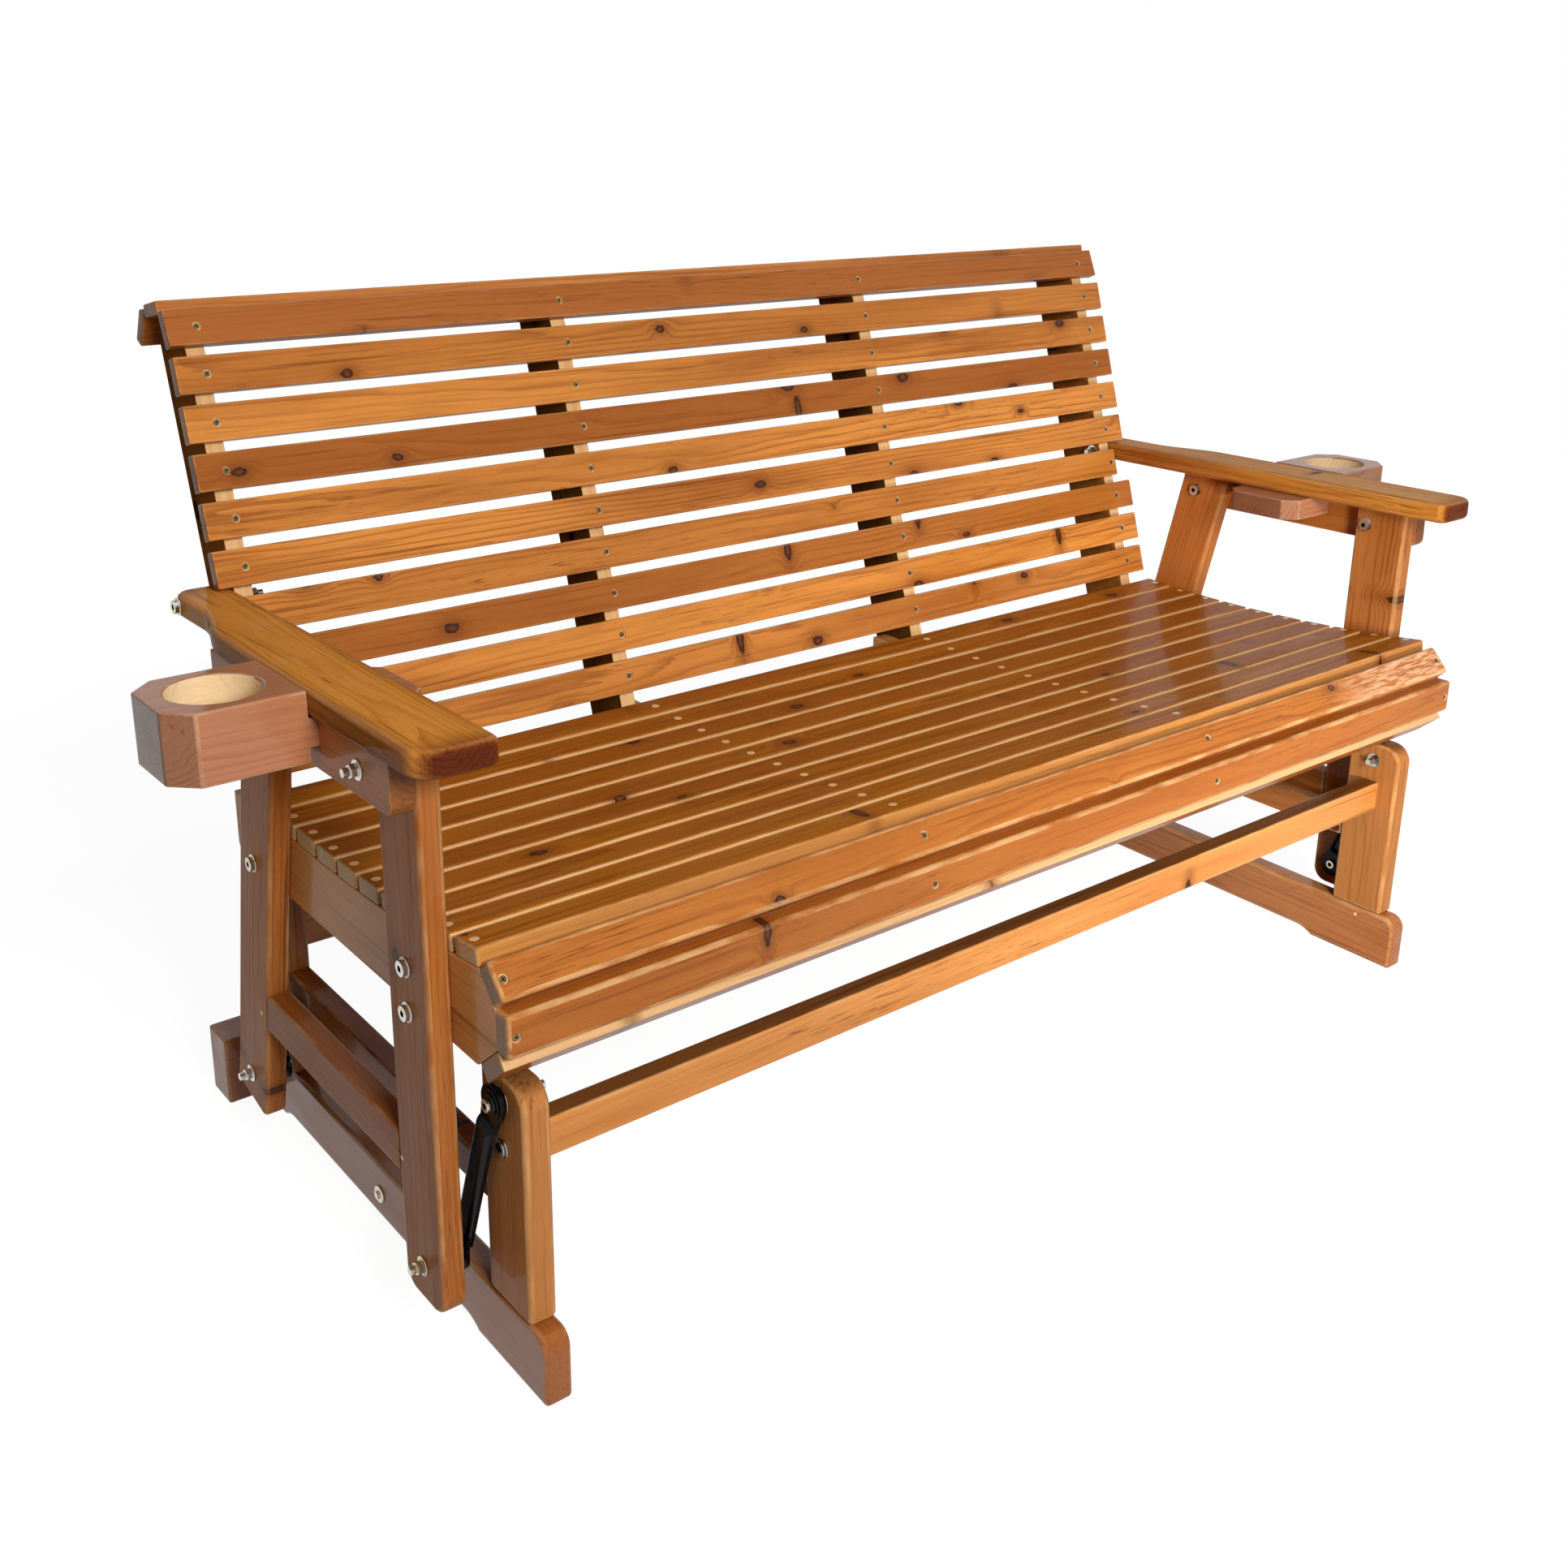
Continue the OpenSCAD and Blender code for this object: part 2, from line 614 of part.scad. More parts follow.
show("rear_stretcher") stretcher(upper_u, rear_bolt_z);
show("rear_ground_beam") rear_ground_beam();
show("stretcher_bolts") stretcher_bolts();
show("upper_pivot_bolts") upper_pivot_bolts();
show("lower_pivot_bolts") lower_pivot_bolts();
show("leg_bolts") leg_bolts();
show("armrest_bolts") armrest_bolts();
show("seat_middle_rails") seat_middle_rails();
show("leg_rails") leg_rails();
show("under_arm_rails") under_arm_rails();
show("back_end_uprights") back_end_uprights();
show("back_middle_uprights") back_middle_uprights();
show("seat_nose_slat") slat(nose_pts, seat_end);
show("seat_front_slat") slat(front_pts, seat_end, "sienna");
show("seat_under_slat") slat(under_pts, seat_end);
show("crest_cap") slat(cap_pts, seat_end - back_inset);
show("crest_rear_slat") slat(rear_slat_pts, seat_end - back_inset);
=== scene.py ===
"""Dresses the slatted glider bench: timber boards, steel arms, bolts, screws, plugs, light and camera."""

from __future__ import annotations

import logging
import math
import random
from collections.abc import Callable
from dataclasses import dataclass, field
from enum import Enum

import bmesh
import bpy
from mathutils import Matrix, Vector

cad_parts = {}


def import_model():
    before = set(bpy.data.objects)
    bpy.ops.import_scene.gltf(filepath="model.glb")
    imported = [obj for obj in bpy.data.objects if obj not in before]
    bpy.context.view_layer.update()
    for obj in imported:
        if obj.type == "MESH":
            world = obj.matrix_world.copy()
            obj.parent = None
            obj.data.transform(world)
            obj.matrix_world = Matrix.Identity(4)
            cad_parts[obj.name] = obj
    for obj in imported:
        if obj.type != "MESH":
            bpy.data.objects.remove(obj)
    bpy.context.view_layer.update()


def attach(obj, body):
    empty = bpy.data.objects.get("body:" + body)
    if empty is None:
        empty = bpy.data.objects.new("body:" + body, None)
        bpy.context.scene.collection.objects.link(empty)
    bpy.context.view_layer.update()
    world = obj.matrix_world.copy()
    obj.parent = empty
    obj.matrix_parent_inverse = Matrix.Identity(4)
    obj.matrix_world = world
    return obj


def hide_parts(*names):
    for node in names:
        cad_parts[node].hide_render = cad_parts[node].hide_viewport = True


Finish = bpy.types.Material
Piece = bpy.types.Object
Socket = bpy.types.NodeSocket

log = logging.getLogger("glider_bench")

BACK_LEAN = math.radians(17.6)
REAR_LEG_LEAN = math.radians(12.5)
ARM_SLOPE = math.radians(1.2)
SIDES = ("left", "right")
SLATS = range(1, 11)
FACING = ("seat_nose_slat", "seat_front_slat", "seat_under_slat")
SHARP = math.radians(38)
FLAT = math.radians(0.4)
SOFT = 34.0
STEEL_SOFT = 36.0
SMALL_SOFT = 30.0
TIMBER_BORE_EDGE = 0.0008
STEEL_BORE_EDGE = 0.0006
WELL_X = 0.8125
WELL_Y = -0.0918
WELL_R = 0.04267
WELL_FLOOR_Z = 0.5795
WELL_RIM_Z = 0.6306
SAME_SPOT = 0.00001
SAME_FACE = 0.0002
END_FROM = 0.55
END_RUN = 0.35
WHITE = (1.0, 1.0, 1.0, 1.0)


class Grain(Enum):
    """The way a board's fibres run."""

    BENCH = (1.0, 0.0, 0.0)
    DEPTH = (0.0, 1.0, 0.0)
    UPRIGHT = (0.0, 0.0, 1.0)
    REAR_LEG = (0.0, -math.sin(REAR_LEG_LEAN), math.cos(REAR_LEG_LEAN))
    BACK = (0.0, math.sin(BACK_LEAN), math.cos(BACK_LEAN))
    ARMREST = (0.0, math.cos(ARM_SLOPE), -math.sin(ARM_SLOPE))


class Bare(Enum):
    """The faces of a board that are left bare, and how bare they are."""

    NONE = 0.0
    LONG_EDGES = 0.6
    FRONT = 0.7
    THIN_FRONT = 0.16
    HOLE = 0.8
    WELL = 1.0


class Rounding(Enum):
    """The size in metres of a board's edge rounding."""

    RAIL = 0.0012
    BACK = 0.0018
    SEAT = 0.0022
    CROSS = 0.003
    NOSE = 0.0042
    LEG = 0.0045
    BASE = 0.005
    ARMREST = 0.006


# -------- shader building


class ShaderSheet:
    """The node tree of a material or of the sky while it is being laid out."""

    def __init__(self, name: str, sky: bool = False) -> None:
        """Makes an empty node tree.

        Args:
            name: The material's or the world's name.
            sky: True for a world.
        """
        self.owner = (bpy.data.worlds if sky else bpy.data.materials).new(name)
        self.owner.use_nodes = True
        self.tree = self.owner.node_tree
        self.tree.nodes.clear()

    def add(self, kind: str, inputs: dict | None = None, **settings: object) -> bpy.types.Node:
        """Adds a node.

        Args:
            kind: The node's type, without its ShaderNode prefix.
            inputs: Values or sockets by input name or number.
            settings: The node's own properties.

        Returns:
            The new node.
        """
        node = self.tree.nodes.new("ShaderNode" + kind)
        for key, value in settings.items():
            setattr(node, key, value)
        for key, value in (inputs or {}).items():
            if isinstance(value, Socket):
                self.tree.links.new(value, node.inputs[key])
            else:
                node.inputs[key].default_value = value
        return node

    def math(self, operation: str, *values: object) -> Socket:
        """A Math node's result.

        Args:
            operation: The operation's name.
            values: Up to three values or sockets.

        Returns:
            The result.
        """
        return self.add("Math", dict(enumerate(values)), operation=operation).outputs[0]

    def vector(self, operation: str, *values: object) -> Socket:
        """A Vector Math node's result.

        Args:
            operation: The operation's name.
            values: One or two vectors or sockets.

        Returns:
            The result.
        """
        output = "Value" if operation == "LENGTH" else "Vector"
        return self.add("VectorMath", dict(enumerate(values)), operation=operation).outputs[output]

    def noise(self, place: Socket, scale: tuple, detail: float = 2.0, rough: float = 0.5) -> Socket:
        """A noise stretched by three scales.

        Args:
            place: The coordinates.
            scale: How many waves per metre along, across and through.
            detail: The number of finer layers.
            rough: How strong the finer layers are.

        Returns:
            The noise's value.
        """
        spot = self.vector("MULTIPLY", place, scale)
        return self.add("TexNoise", {"Vector": spot, "Scale": 1.0, "Detail": detail, "Roughness": rough}).outputs[0]

    def fit(self, value: Socket, *ends: float) -> Socket:
        """Maps a range onto another and clamps it.

        Args:
            value: The value.
            ends: The two ends of its range, then the result at each, which is 0 and 1 if left out.

        Returns:
            The result.
        """
        return self.add("MapRange", dict(enumerate((value, *ends))), clamp=True).outputs[0]

    def mix(self, share: object, first: object, second: object, blend: str = "MIX") -> Socket:
        """Mixes two colours.

        Args:
            share: How much of the second shows.
            first: The first colour.
            second: The second colour.
            blend: The way they mix.

        Returns:
            The mixed colour.
        """
        first, second = ((*tone, 1.0) if isinstance(tone, tuple) else tone for tone in (first, second))
        inputs = {0: share, 6: first, 7: second}
        return self.add("Mix", inputs, data_type="RGBA", blend_type=blend, clamp_factor=True).outputs[2]

    def seen(self) -> Socket:
        """Where a surface is seen by the camera, in a reflection or through glass.

        Returns:
            1 where it is seen that way and 0 elsewhere.
        """
        path = self.add("LightPath")
        seen = self.math("MAXIMUM", path.outputs["Is Camera Ray"], path.outputs["Is Glossy Ray"])
        return self.math("MAXIMUM", seen, path.outputs["Is Transmission Ray"])

    def finish(self, surface: dict) -> Finish:
        """Ends the tree with a Principled shader.

        Args:
            surface: The shader's inputs by name.

        Returns:
            The material.
        """
        shader = self.add("BsdfPrincipled", surface)
        self.add("OutputMaterial", {"Surface": shader.outputs[0]})
        return self.owner


@dataclass(frozen=True)
class VarnishedTimber:
    """Knotty softwood under clear gloss varnish, drawn from each board's own grain."""

    name: str
    early: tuple = (0.69, 0.262, 0.048)
    late: tuple = (0.26, 0.068, 0.01)
    stain: tuple = (0.31, 0.084, 0.01)
    bare: tuple = (0.88, 0.6, 0.29)
    bare_late: tuple = (0.62, 0.31, 0.11)
    knot: tuple = (0.045, 0.013, 0.004)
    knot_heart: tuple = (0.13, 0.034, 0.008)
    halo: tuple = (0.17, 0.04, 0.005)
    rubbed: tuple = (0.78, 0.46, 0.27)
    end_shade: tuple = (0.5, 0.5, 0.5)
    end_bare: float = 0.0
    side_shade: tuple | None = None
    rim_shade: tuple | None = None
    edge_wear_and_highlight: float = 0.2
    clear: float = 0.14
    ring_m: float = 0.0058
    roughness: float = 0.42
    gloss: float = 0.06
    coat: float = 0.24
    coat_roughness: float = 0.1

    def build(self) -> Finish:
        """Lays out the wood's nodes.

        Returns:
            The material.
        """
        sheet = ShaderSheet(self.name)
        place = sheet.add("Attribute", attribute_name="grain").outputs["Vector"]
        marks = sheet.add("Attribute", attribute_name="marks")
        split = sheet.add("SeparateColor", {"Color": marks.outputs["Color"]})
        end, edge, bare = split.outputs[0], split.outputs[1], split.outputs[2]
        tone = marks.outputs["Alpha"]

        sway = sheet.noise(place, (1.3, 6.0, 6.0), 2.0, 0.45).node.outputs["Color"]
        sway = sheet.vector("MULTIPLY", sheet.vector("SUBTRACT", sway, (0.5, 0.5, 0.5)), (0.0, 0.055, 0.055))
        bent = sheet.vector("ADD", place, sway)

        core, heart, halo = self.knots(sheet, bent, self.clear)
        around = sheet.vector("LENGTH", sheet.vector("MULTIPLY", bent, (0.0, 1.0, 1.0)))
        around = sheet.math("MULTIPLY_ADD", halo, 0.013, around)
        ripple = sheet.noise(bent, (5.0, 70.0, 70.0), 2.0)
        turns = sheet.math("MULTIPLY_ADD", ripple, 1.7, sheet.math("DIVIDE", around, self.ring_m))
        phase = sheet.math("FRACT", turns)
        ring = sheet.math("MULTIPLY", sheet.fit(phase, 0.5, 0.93), sheet.fit(phase, 1.0, 0.95))
        band = sheet.noise(place, (1.8, 30.0, 30.0), 2.0)
        ring = sheet.math("MULTIPLY", ring, sheet.fit(band, 0.36, 0.64, 0.12, 1.0))
        fibre = sheet.noise(place, (16.0, 900.0, 900.0), 3.0, 0.6)
        streak = sheet.noise(place, (4.0, 190.0, 190.0), 2.0, 0.55)
        fleck = sheet.noise(place, (26.0, 620.0, 620.0), 2.0, 0.5)
        spread = sheet.noise(place, (3.0, 25.0, 25.0), 1.0)
        fleck = sheet.math("MULTIPLY", sheet.fit(fleck, 0.62, 0.68), sheet.fit(spread, 0.5, 0.62, 0.15, 1.0))

        cloud = sheet.noise(place, (2.6, 16.0, 16.0), 3.0)
        colour = sheet.mix(sheet.fit(cloud, 0.4, 0.66, 0.0, 0.7), self.early, self.stain)
        colour = sheet.mix(sheet.fit(tone, 0.25, 1.0, 0.0, 0.85), colour, self.stain)
        colour = sheet.mix(sheet.math("MULTIPLY", ring, sheet.fit(end, 0.0, 1.0, 0.74, 1.0)), colour, self.late)
        colour = sheet.mix(sheet.fit(fibre, 0.38, 0.72, 0.0, 0.32), colour, self.late)
        colour = sheet.mix(sheet.fit(streak, 0.6, 0.72, 0.0, 0.6), colour, self.halo)
        colour = sheet.mix(sheet.math("MULTIPLY", fleck, 0.75), colour, self.halo)
        pale = sheet.mix(sheet.math("MULTIPLY", ring, 0.5), self.bare, self.bare_late)
        pale = sheet.mix(sheet.fit(fibre, 0.4, 0.7, 0.0, 0.3), pale, self.bare_late)
        colour = sheet.mix(sheet.math("MAXIMUM", bare, sheet.math("MULTIPLY", end, self.end_bare)), colour, pale)
        colour = sheet.mix(sheet.math("MULTIPLY", halo, 0.8), colour, self.halo)
        colour = sheet.mix(core, colour, sheet.mix(heart, self.knot, self.knot_heart))

        shaded = sheet.math("MULTIPLY", end, sheet.math("SUBTRACT", 1.0, bare))
        colour = sheet.mix(shaded, colour, self.end_shade, "MULTIPLY")
        # Painted shade on faces that lie in shadow: the uprights' sides between the slats and the stretchers' tops
        # and bottoms.
        if self.side_shade:
            side = sheet.add("Attribute", attribute_name="side").outputs["Fac"]
            colour = sheet.mix(side, colour, self.side_shade, "MULTIPLY")
        if self.rim_shade:
            colour = sheet.mix(self.rim(sheet, cloud), colour, self.rim_shade, "MULTIPLY")
        # Pale wear on the rounded edges; where it is strong, as on the front slats, it is also a painted highlight
        # along the edge.
        patch = sheet.fit(sheet.noise(place, (24.0, 90.0, 90.0), 3.0), 0.35, 0.65, 0.0, self.edge_wear_and_highlight)
        patch = sheet.math("MULTIPLY", patch, sheet.math("SUBTRACT", 1.0, end))
        colour = sheet.mix(sheet.math("MULTIPLY", edge, patch), colour, self.bare)

        scuff = sheet.fit(sheet.add("Attribute", attribute_name="scuff").outputs["Fac"], 0.0, 1.0)
        scrape = sheet.noise(place, (38.0, 420.0, 420.0), 4.0, 0.6)
        scuff = sheet.math("MULTIPLY", scuff, sheet.fit(scrape, 0.42, 0.58, 0.0, 0.72))
        colour = sheet.mix(scuff, colour, self.rubbed)

        smear = sheet.noise(place, (8.0, 40.0, 40.0), 3.0)
        rough = sheet.fit(smear, 0.3, 0.7, self.roughness - 0.08, self.roughness + 0.1)
        height = sheet.math("MULTIPLY_ADD", fibre, 0.5, sheet.math("MULTIPLY", ring, -0.4))
        bump = sheet.add("Bump", {"Strength": 0.3, "Distance": 0.0006, "Height": height})
        return sheet.finish({
            "Base Color": colour,
            "Roughness": rough,
            "Specular IOR Level": self.gloss,
            "Coat Weight": self.coat,
            "Coat Roughness": self.coat_roughness,
            "Normal": bump.outputs[0],
        })

    @staticmethod
    def rim(sheet: ShaderSheet, cloud: Socket) -> Socket:
        """The wavering band along a board's sides and near its ends that is drawn darker.

        Args:
            sheet: The tree being laid out.
            cloud: The noise that moves the band.

        Returns:
            1 at the edges and 0 in the middle.
        """
        reach = sheet.vector("ABSOLUTE", sheet.add("Attribute", attribute_name="reach").outputs["Vector"])
        parts = sheet.add("SeparateXYZ", {0: reach}).outputs
        waver = sheet.fit(cloud, 0.3, 0.7, -0.08, 0.08)
        across = sheet.fit(sheet.math("ADD", parts[1], waver), 0.55, 1.05)
        along = sheet.fit(sheet.math("MULTIPLY_ADD", waver, 0.2, parts[0]), 0.86, 1.0)
        return sheet.math("POWER", sheet.math("MAXIMUM", across, along), 1.6)

    @staticmethod
    def knots(sheet: ShaderSheet, place: Socket, clear: float) -> tuple:
        """Scatters knots over a board's wide faces.

        Args:
            sheet: The tree being laid out.
            place: The board's coordinates.
            clear: The share of the patches that have no knot.

        Returns:
            How far a point is inside a knot, near its heart, and inside the dark wood around it.
        """
        cells = (4.6, 13.0, 0.0)
        spot = sheet.vector("MULTIPLY", place, cells)
        cell = sheet.add("TexVoronoi", {"Vector": spot, "Scale": 1.0}, voronoi_dimensions="2D")
        away = sheet.vector("SUBTRACT", spot, cell.outputs["Position"])
        chance = sheet.add("SeparateColor", {"Color": cell.outputs["Color"]}).outputs[0]
        spike = sheet.fit(chance, 0.86, 0.87)
        shape = sheet.add("CombineXYZ", {
            0: sheet.fit(spike, 0.0, 1.0, 0.66 / cells[0], 1.5 / cells[0]),
            1: sheet.fit(spike, 0.0, 1.0, 1.0 / cells[1], 0.42 / cells[1]),
        })
        away = sheet.vector("MULTIPLY", away, shape.outputs[0])
        uneven = sheet.noise(place, (150.0, 150.0, 0.0), 3.0)
        gap = sheet.math("MULTIPLY_ADD", uneven, 0.005, sheet.math("ADD", sheet.vector("LENGTH", away), -0.0025))
        radius = sheet.fit(chance, clear, 1.0, 0.0034, 0.009)
        there = sheet.fit(chance, clear, clear + 0.02)
        share = sheet.math("DIVIDE", gap, radius)
        core = sheet.math("MULTIPLY", sheet.fit(share, 1.0, 0.86), there)
        heart = sheet.fit(share, 0.6, 0.25)
        spread = sheet.math("DIVIDE", gap, sheet.math("MULTIPLY_ADD", radius, 1.7, 0.002))
        fall = sheet.math("MULTIPLY", sheet.math("POWER", spread, 2.0), -1.0)
        halo = sheet.math("MULTIPLY", sheet.math("EXPONENT", fall), there)
        return core, heart, halo


MATT = dict(gloss=0.0, coat=0.0)
SATIN = dict(gloss=0.03, coat=0.15, clear=0.62)
TIMBERS: dict[str, dict] = {
    "golden": dict(),
    "seat": dict(
        early=(0.46, 0.15, 0.009), late=(0.2, 0.053, 0.003), end_shade=(0.95, 0.95, 0.95), end_bare=0.6,
        gloss=0.03, coat=0.16, clear=0.6,
    ),
    "frame": dict(early=(0.58, 0.21, 0.05), late=(0.29, 0.082, 0.015), stain=(0.36, 0.105, 0.018), clear=0.5),
    # The front slats' pale rounded edges are painted highlight as well as wear.
    "front": dict(early=(0.46, 0.152, 0.026), late=(0.24, 0.065, 0.01), edge_wear_and_highlight=0.38, end_bare=0.35, clear=0.7),
    "leg": SATIN | dict(early=(0.42, 0.145, 0.036), late=(0.21, 0.062, 0.012)),
    "rear leg": SATIN | dict(
        early=(0.5, 0.168, 0.036), late=(0.25, 0.07, 0.012), stain=(0.41, 0.122, 0.022), coat=0.13
    ),
    "post": SATIN | dict(early=(0.48, 0.192, 0.056), late=(0.26, 0.088, 0.02), stain=(0.4, 0.145, 0.034)),
    "foot": dict(
        early=(0.44, 0.158, 0.044), late=(0.24, 0.074, 0.018), end_shade=(0.92, 0.92, 0.92),
        gloss=0.12, coat=0.4, clear=0.96,
    ),
    "armrest": dict(
        early=(0.86, 0.38, 0.066), late=(0.42, 0.13, 0.017), stain=(0.7, 0.27, 0.045),
        end_shade=(0.31, 0.17, 0.12), rim_shade=(0.42, 0.31, 0.24), edge_wear_and_highlight=0.05, gloss=0.0, coat=0.2, clear=0.9,
    ),
    "cup": dict(
        early=(0.46, 0.195, 0.1), late=(0.28, 0.1, 0.042), stain=(0.4, 0.155, 0.07), bare=(0.8, 0.6, 0.35),
        coat=0.5, clear=0.97,
    ),
    # side_shade is painted shade on the faces a board marks as shaded.
    "pale": dict(
        early=(0.84, 0.37, 0.105), late=(0.48, 0.175, 0.036), stain=(0.42, 0.135, 0.024),
        side_shade=(0.3, 0.26, 0.22), clear=0.5,
    ),
    "upright": MATT | dict(early=(0.66, 0.28, 0.066), late=(0.4, 0.135, 0.024), side_shade=(0.24, 0.22, 0.2)),
    "end upright": MATT | dict(early=(0.54, 0.19, 0.04), late=(0.3, 0.09, 0.014), side_shade=(0.8, 0.8, 0.8)),
}


@dataclass(frozen=True)
class SmallFinish:
    """The finish of steel and dowels: two colours in clouds, with painted shade and grime where the mesh asks for it.

    The clouds have so many waves per metre and finer layers, and patchy maps them to the patch colour's share.
    """

    name: str
    main: tuple
    patch: tuple
    waves: float
    layers: float
    patchy: tuple
    rough: tuple
    shade_and_grime: tuple | None = None
    scratch: tuple | None = None
    skin: float | None = None
    surface: dict = field(default_factory=dict)

    def build(self) -> Finish:
        """Lays out the finish's nodes.

        Returns:
            The material.
        """
        sheet = ShaderSheet(self.name)
        place = sheet.add("TexCoord").outputs["Object"]
        cloud = sheet.noise(place, (self.waves,) * 3, self.layers)
        colour = sheet.mix(sheet.fit(cloud, *self.patchy), self.main, self.patch)
        # Painted shade in the sockets and recesses, and grime, where the mesh marks it.
        if self.shade_and_grime:
            shade_and_grime_share = sheet.add("Attribute", attribute_name="shade_and_grime").outputs["Fac"]
            colour = sheet.mix(shade_and_grime_share, colour, self.shade_and_grime)
        dull = sheet.noise(place, self.scratch) if self.scratch else cloud
        surface = self.surface | {"Base Color": colour, "Roughness": sheet.fit(dull, 0.3, 0.7, *self.rough)}
        if self.skin:
            height = sheet.noise(place, (self.skin,) * 3)
            bump = sheet.add("Bump", {"Strength": 0.12, "Distance": 0.0003, "Height": height})
            surface["Normal"] = bump.outputs[0]
        return sheet.finish(surface)


ZINC = SmallFinish(
    "zinc plated steel", (0.6, 0.58, 0.54), (0.52, 0.41, 0.19), 45.0, 2.0, (0.45, 0.65, 0.0, 0.8), (0.14, 0.34),
    shade_and_grime=(0.035, 0.03, 0.024), scratch=(900.0, 2500.0, 900.0), surface={"Metallic": 1.0},
)
BLACK = SmallFinish(
    "black painted steel", (0.0012, 0.0012, 0.0014), (0.003, 0.003, 0.003), 60.0, 4.0, (0.4, 0.7), (0.24, 0.4),
    skin=1400.0, surface={"Specular IOR Level": 0.08, "Coat Weight": 0.1, "Coat Roughness": 0.08},
)
DOWEL = SmallFinish(
    "pale dowel", (0.86, 0.58, 0.3), (0.62, 0.36, 0.15), 500.0, 3.0, (0.35, 0.7), (0.35, 0.5),
    surface={"Coat Weight": 0.4, "Coat Roughness": 0.2},
)
SCREW = SmallFinish(
    "yellow screw", (0.34, 0.21, 0.09), (0.16, 0.09, 0.04), 600.0, 3.0, (0.4, 0.62), (0.3, 0.6),
    shade_and_grime=(0.012, 0.007, 0.004), surface={"Metallic": 0.6},
)


# -------- mesh work


def pick(*pieces: Piece) -> None:
    """Selects pieces and nothing else, with the first one active.

    Args:
        pieces: The pieces.
    """
    bpy.ops.object.select_all(action="DESELECT")
    for piece in pieces:
        piece.select_set(True)
    bpy.context.view_layer.objects.active = pieces[0]


def join(pieces: list) -> Piece:
    """Joins pieces into the first one.

    Args:
        pieces: The pieces.

    Returns:
        The joined piece.
    """
    pick(*pieces)
    if len(pieces) > 1:
        bpy.ops.object.join()
    return pieces[0]


def apply_all(piece: Piece) -> None:
    """Applies every modifier of a piece in order.

    Args:
        piece: The piece.
    """
    pick(piece)
    for name in [modifier.name for modifier in piece.modifiers]:
        bpy.ops.object.modifier_apply(modifier=name)


def span(points: list) -> tuple:
    """The box around some points.

    Args:
        points: The points.

    Returns:
        Its lowest corner, its highest corner and its middle.
    """
    low, high = (Vector(end(point[axis] for point in points) for axis in range(3)) for end in (min, max))
    return low, high, (low + high) / 2


def merged_copy(node: str, name: str, finish: Finish) -> Piece:
    """A node's solid as one clean mesh with flat faces joined.

    Args:
        node: The node's name.
        name: The new piece's name.
        finish: The material for its two slots, of flat and of rounded faces.

    Returns:
        The copy.
    """
    source = bpy.data.objects[node]
    piece = bpy.data.objects.new(name, source.data.copy())
    bpy.context.scene.collection.objects.link(piece)
    piece.data.materials.clear()
    pick(piece)
    bpy.ops.object.mode_set(mode="EDIT")
    bpy.ops.mesh.select_all(action="SELECT")
    bpy.ops.mesh.remove_doubles(threshold=SAME_SPOT)
    bpy.ops.mesh.dissolve_limited(angle_limit=FLAT)
    bpy.ops.object.mode_set(mode="OBJECT")
    bpy.ops.mesh.customdata_custom_splitnormals_clear()
    for _ in range(2):
        piece.data.materials.append(finish)
    return piece


def ease(piece: Piece, width: float, segments: int) -> None:
    """Rounds every edge of a small piece.

    Args:
        piece: The piece.
        width: The size of the rounding in metres.
        segments: The number of faces across it.
    """
    pick(piece)
    bpy.ops.object.mode_set(mode="EDIT")
    bpy.ops.mesh.select_all(action="SELECT")
    bpy.ops.mesh.bevel(offset=width, segments=segments, affect="EDGES")
    bpy.ops.object.mode_set(mode="OBJECT")


def paint_shade_and_grime(piece: Piece, share: Callable) -> None:
    """Marks how dark each face of a metal piece is drawn: painted shade in its hollows, and grime.

    Args:
        piece: The piece.
        share: Gives a face's painted shade and grime from 0 to 1.
    """
    shade_and_grime_share = piece.data.attributes.new("shade_and_grime", "FLOAT", "FACE")
    for face in piece.data.polygons:
        shade_and_grime_share.data[face.index].value = share(face)


def soften(piece: Piece, width: float, shortest: float, segments: int = 3, seat: Vector | None = None) -> None:
    """Rounds a piece's outer edges and marks the new faces with the second material slot.

    Args:
        piece: The piece, with two material slots.
        width: The size of the rounding in metres.
        shortest: The length under which an edge belongs to a bore and stays sharp.
        segments: The number of faces across the rounding.
        seat: The way of a face that lies on other pieces, whose edges stay sharp.
    """
    shape = bmesh.new()
    shape.from_mesh(piece.data)
    weight = shape.edges.layers.float.new("bevel_weight_edge")
    for edge in shape.edges:
        turned = len(edge.link_faces) == 2 and edge.is_convex and edge.calc_face_angle() > SHARP
        if turned and seat:
            turned = all(face.normal.dot(seat) < 0.95 for face in edge.link_faces)
        edge[weight] = 1.0 if turned and edge.calc_length() > shortest else 0.0
    shape.to_mesh(piece.data)
    shape.free()
    bevel = piece.modifiers.new("round", "BEVEL")
    bevel.width = width
    bevel.segments = segments
    bevel.limit_method = "WEIGHT"
    bevel.use_clamp_overlap = True
    bevel.loop_slide = False
    bevel.material = 1
    apply_all(piece)


def shade(piece: Piece, angle: float) -> None:
    """Shades a piece smooth up to an angle, with its flat faces kept flat.

    Args:
        piece: The piece.
        angle: The sharpest smooth edge in degrees.
    """
    pick(piece)
    bpy.ops.object.shade_smooth_by_angle(angle=math.radians(angle))
    level = piece.modifiers.new("level", "WEIGHTED_NORMAL")
    level.keep_sharp = True
    level.weight = 90
    apply_all(piece)


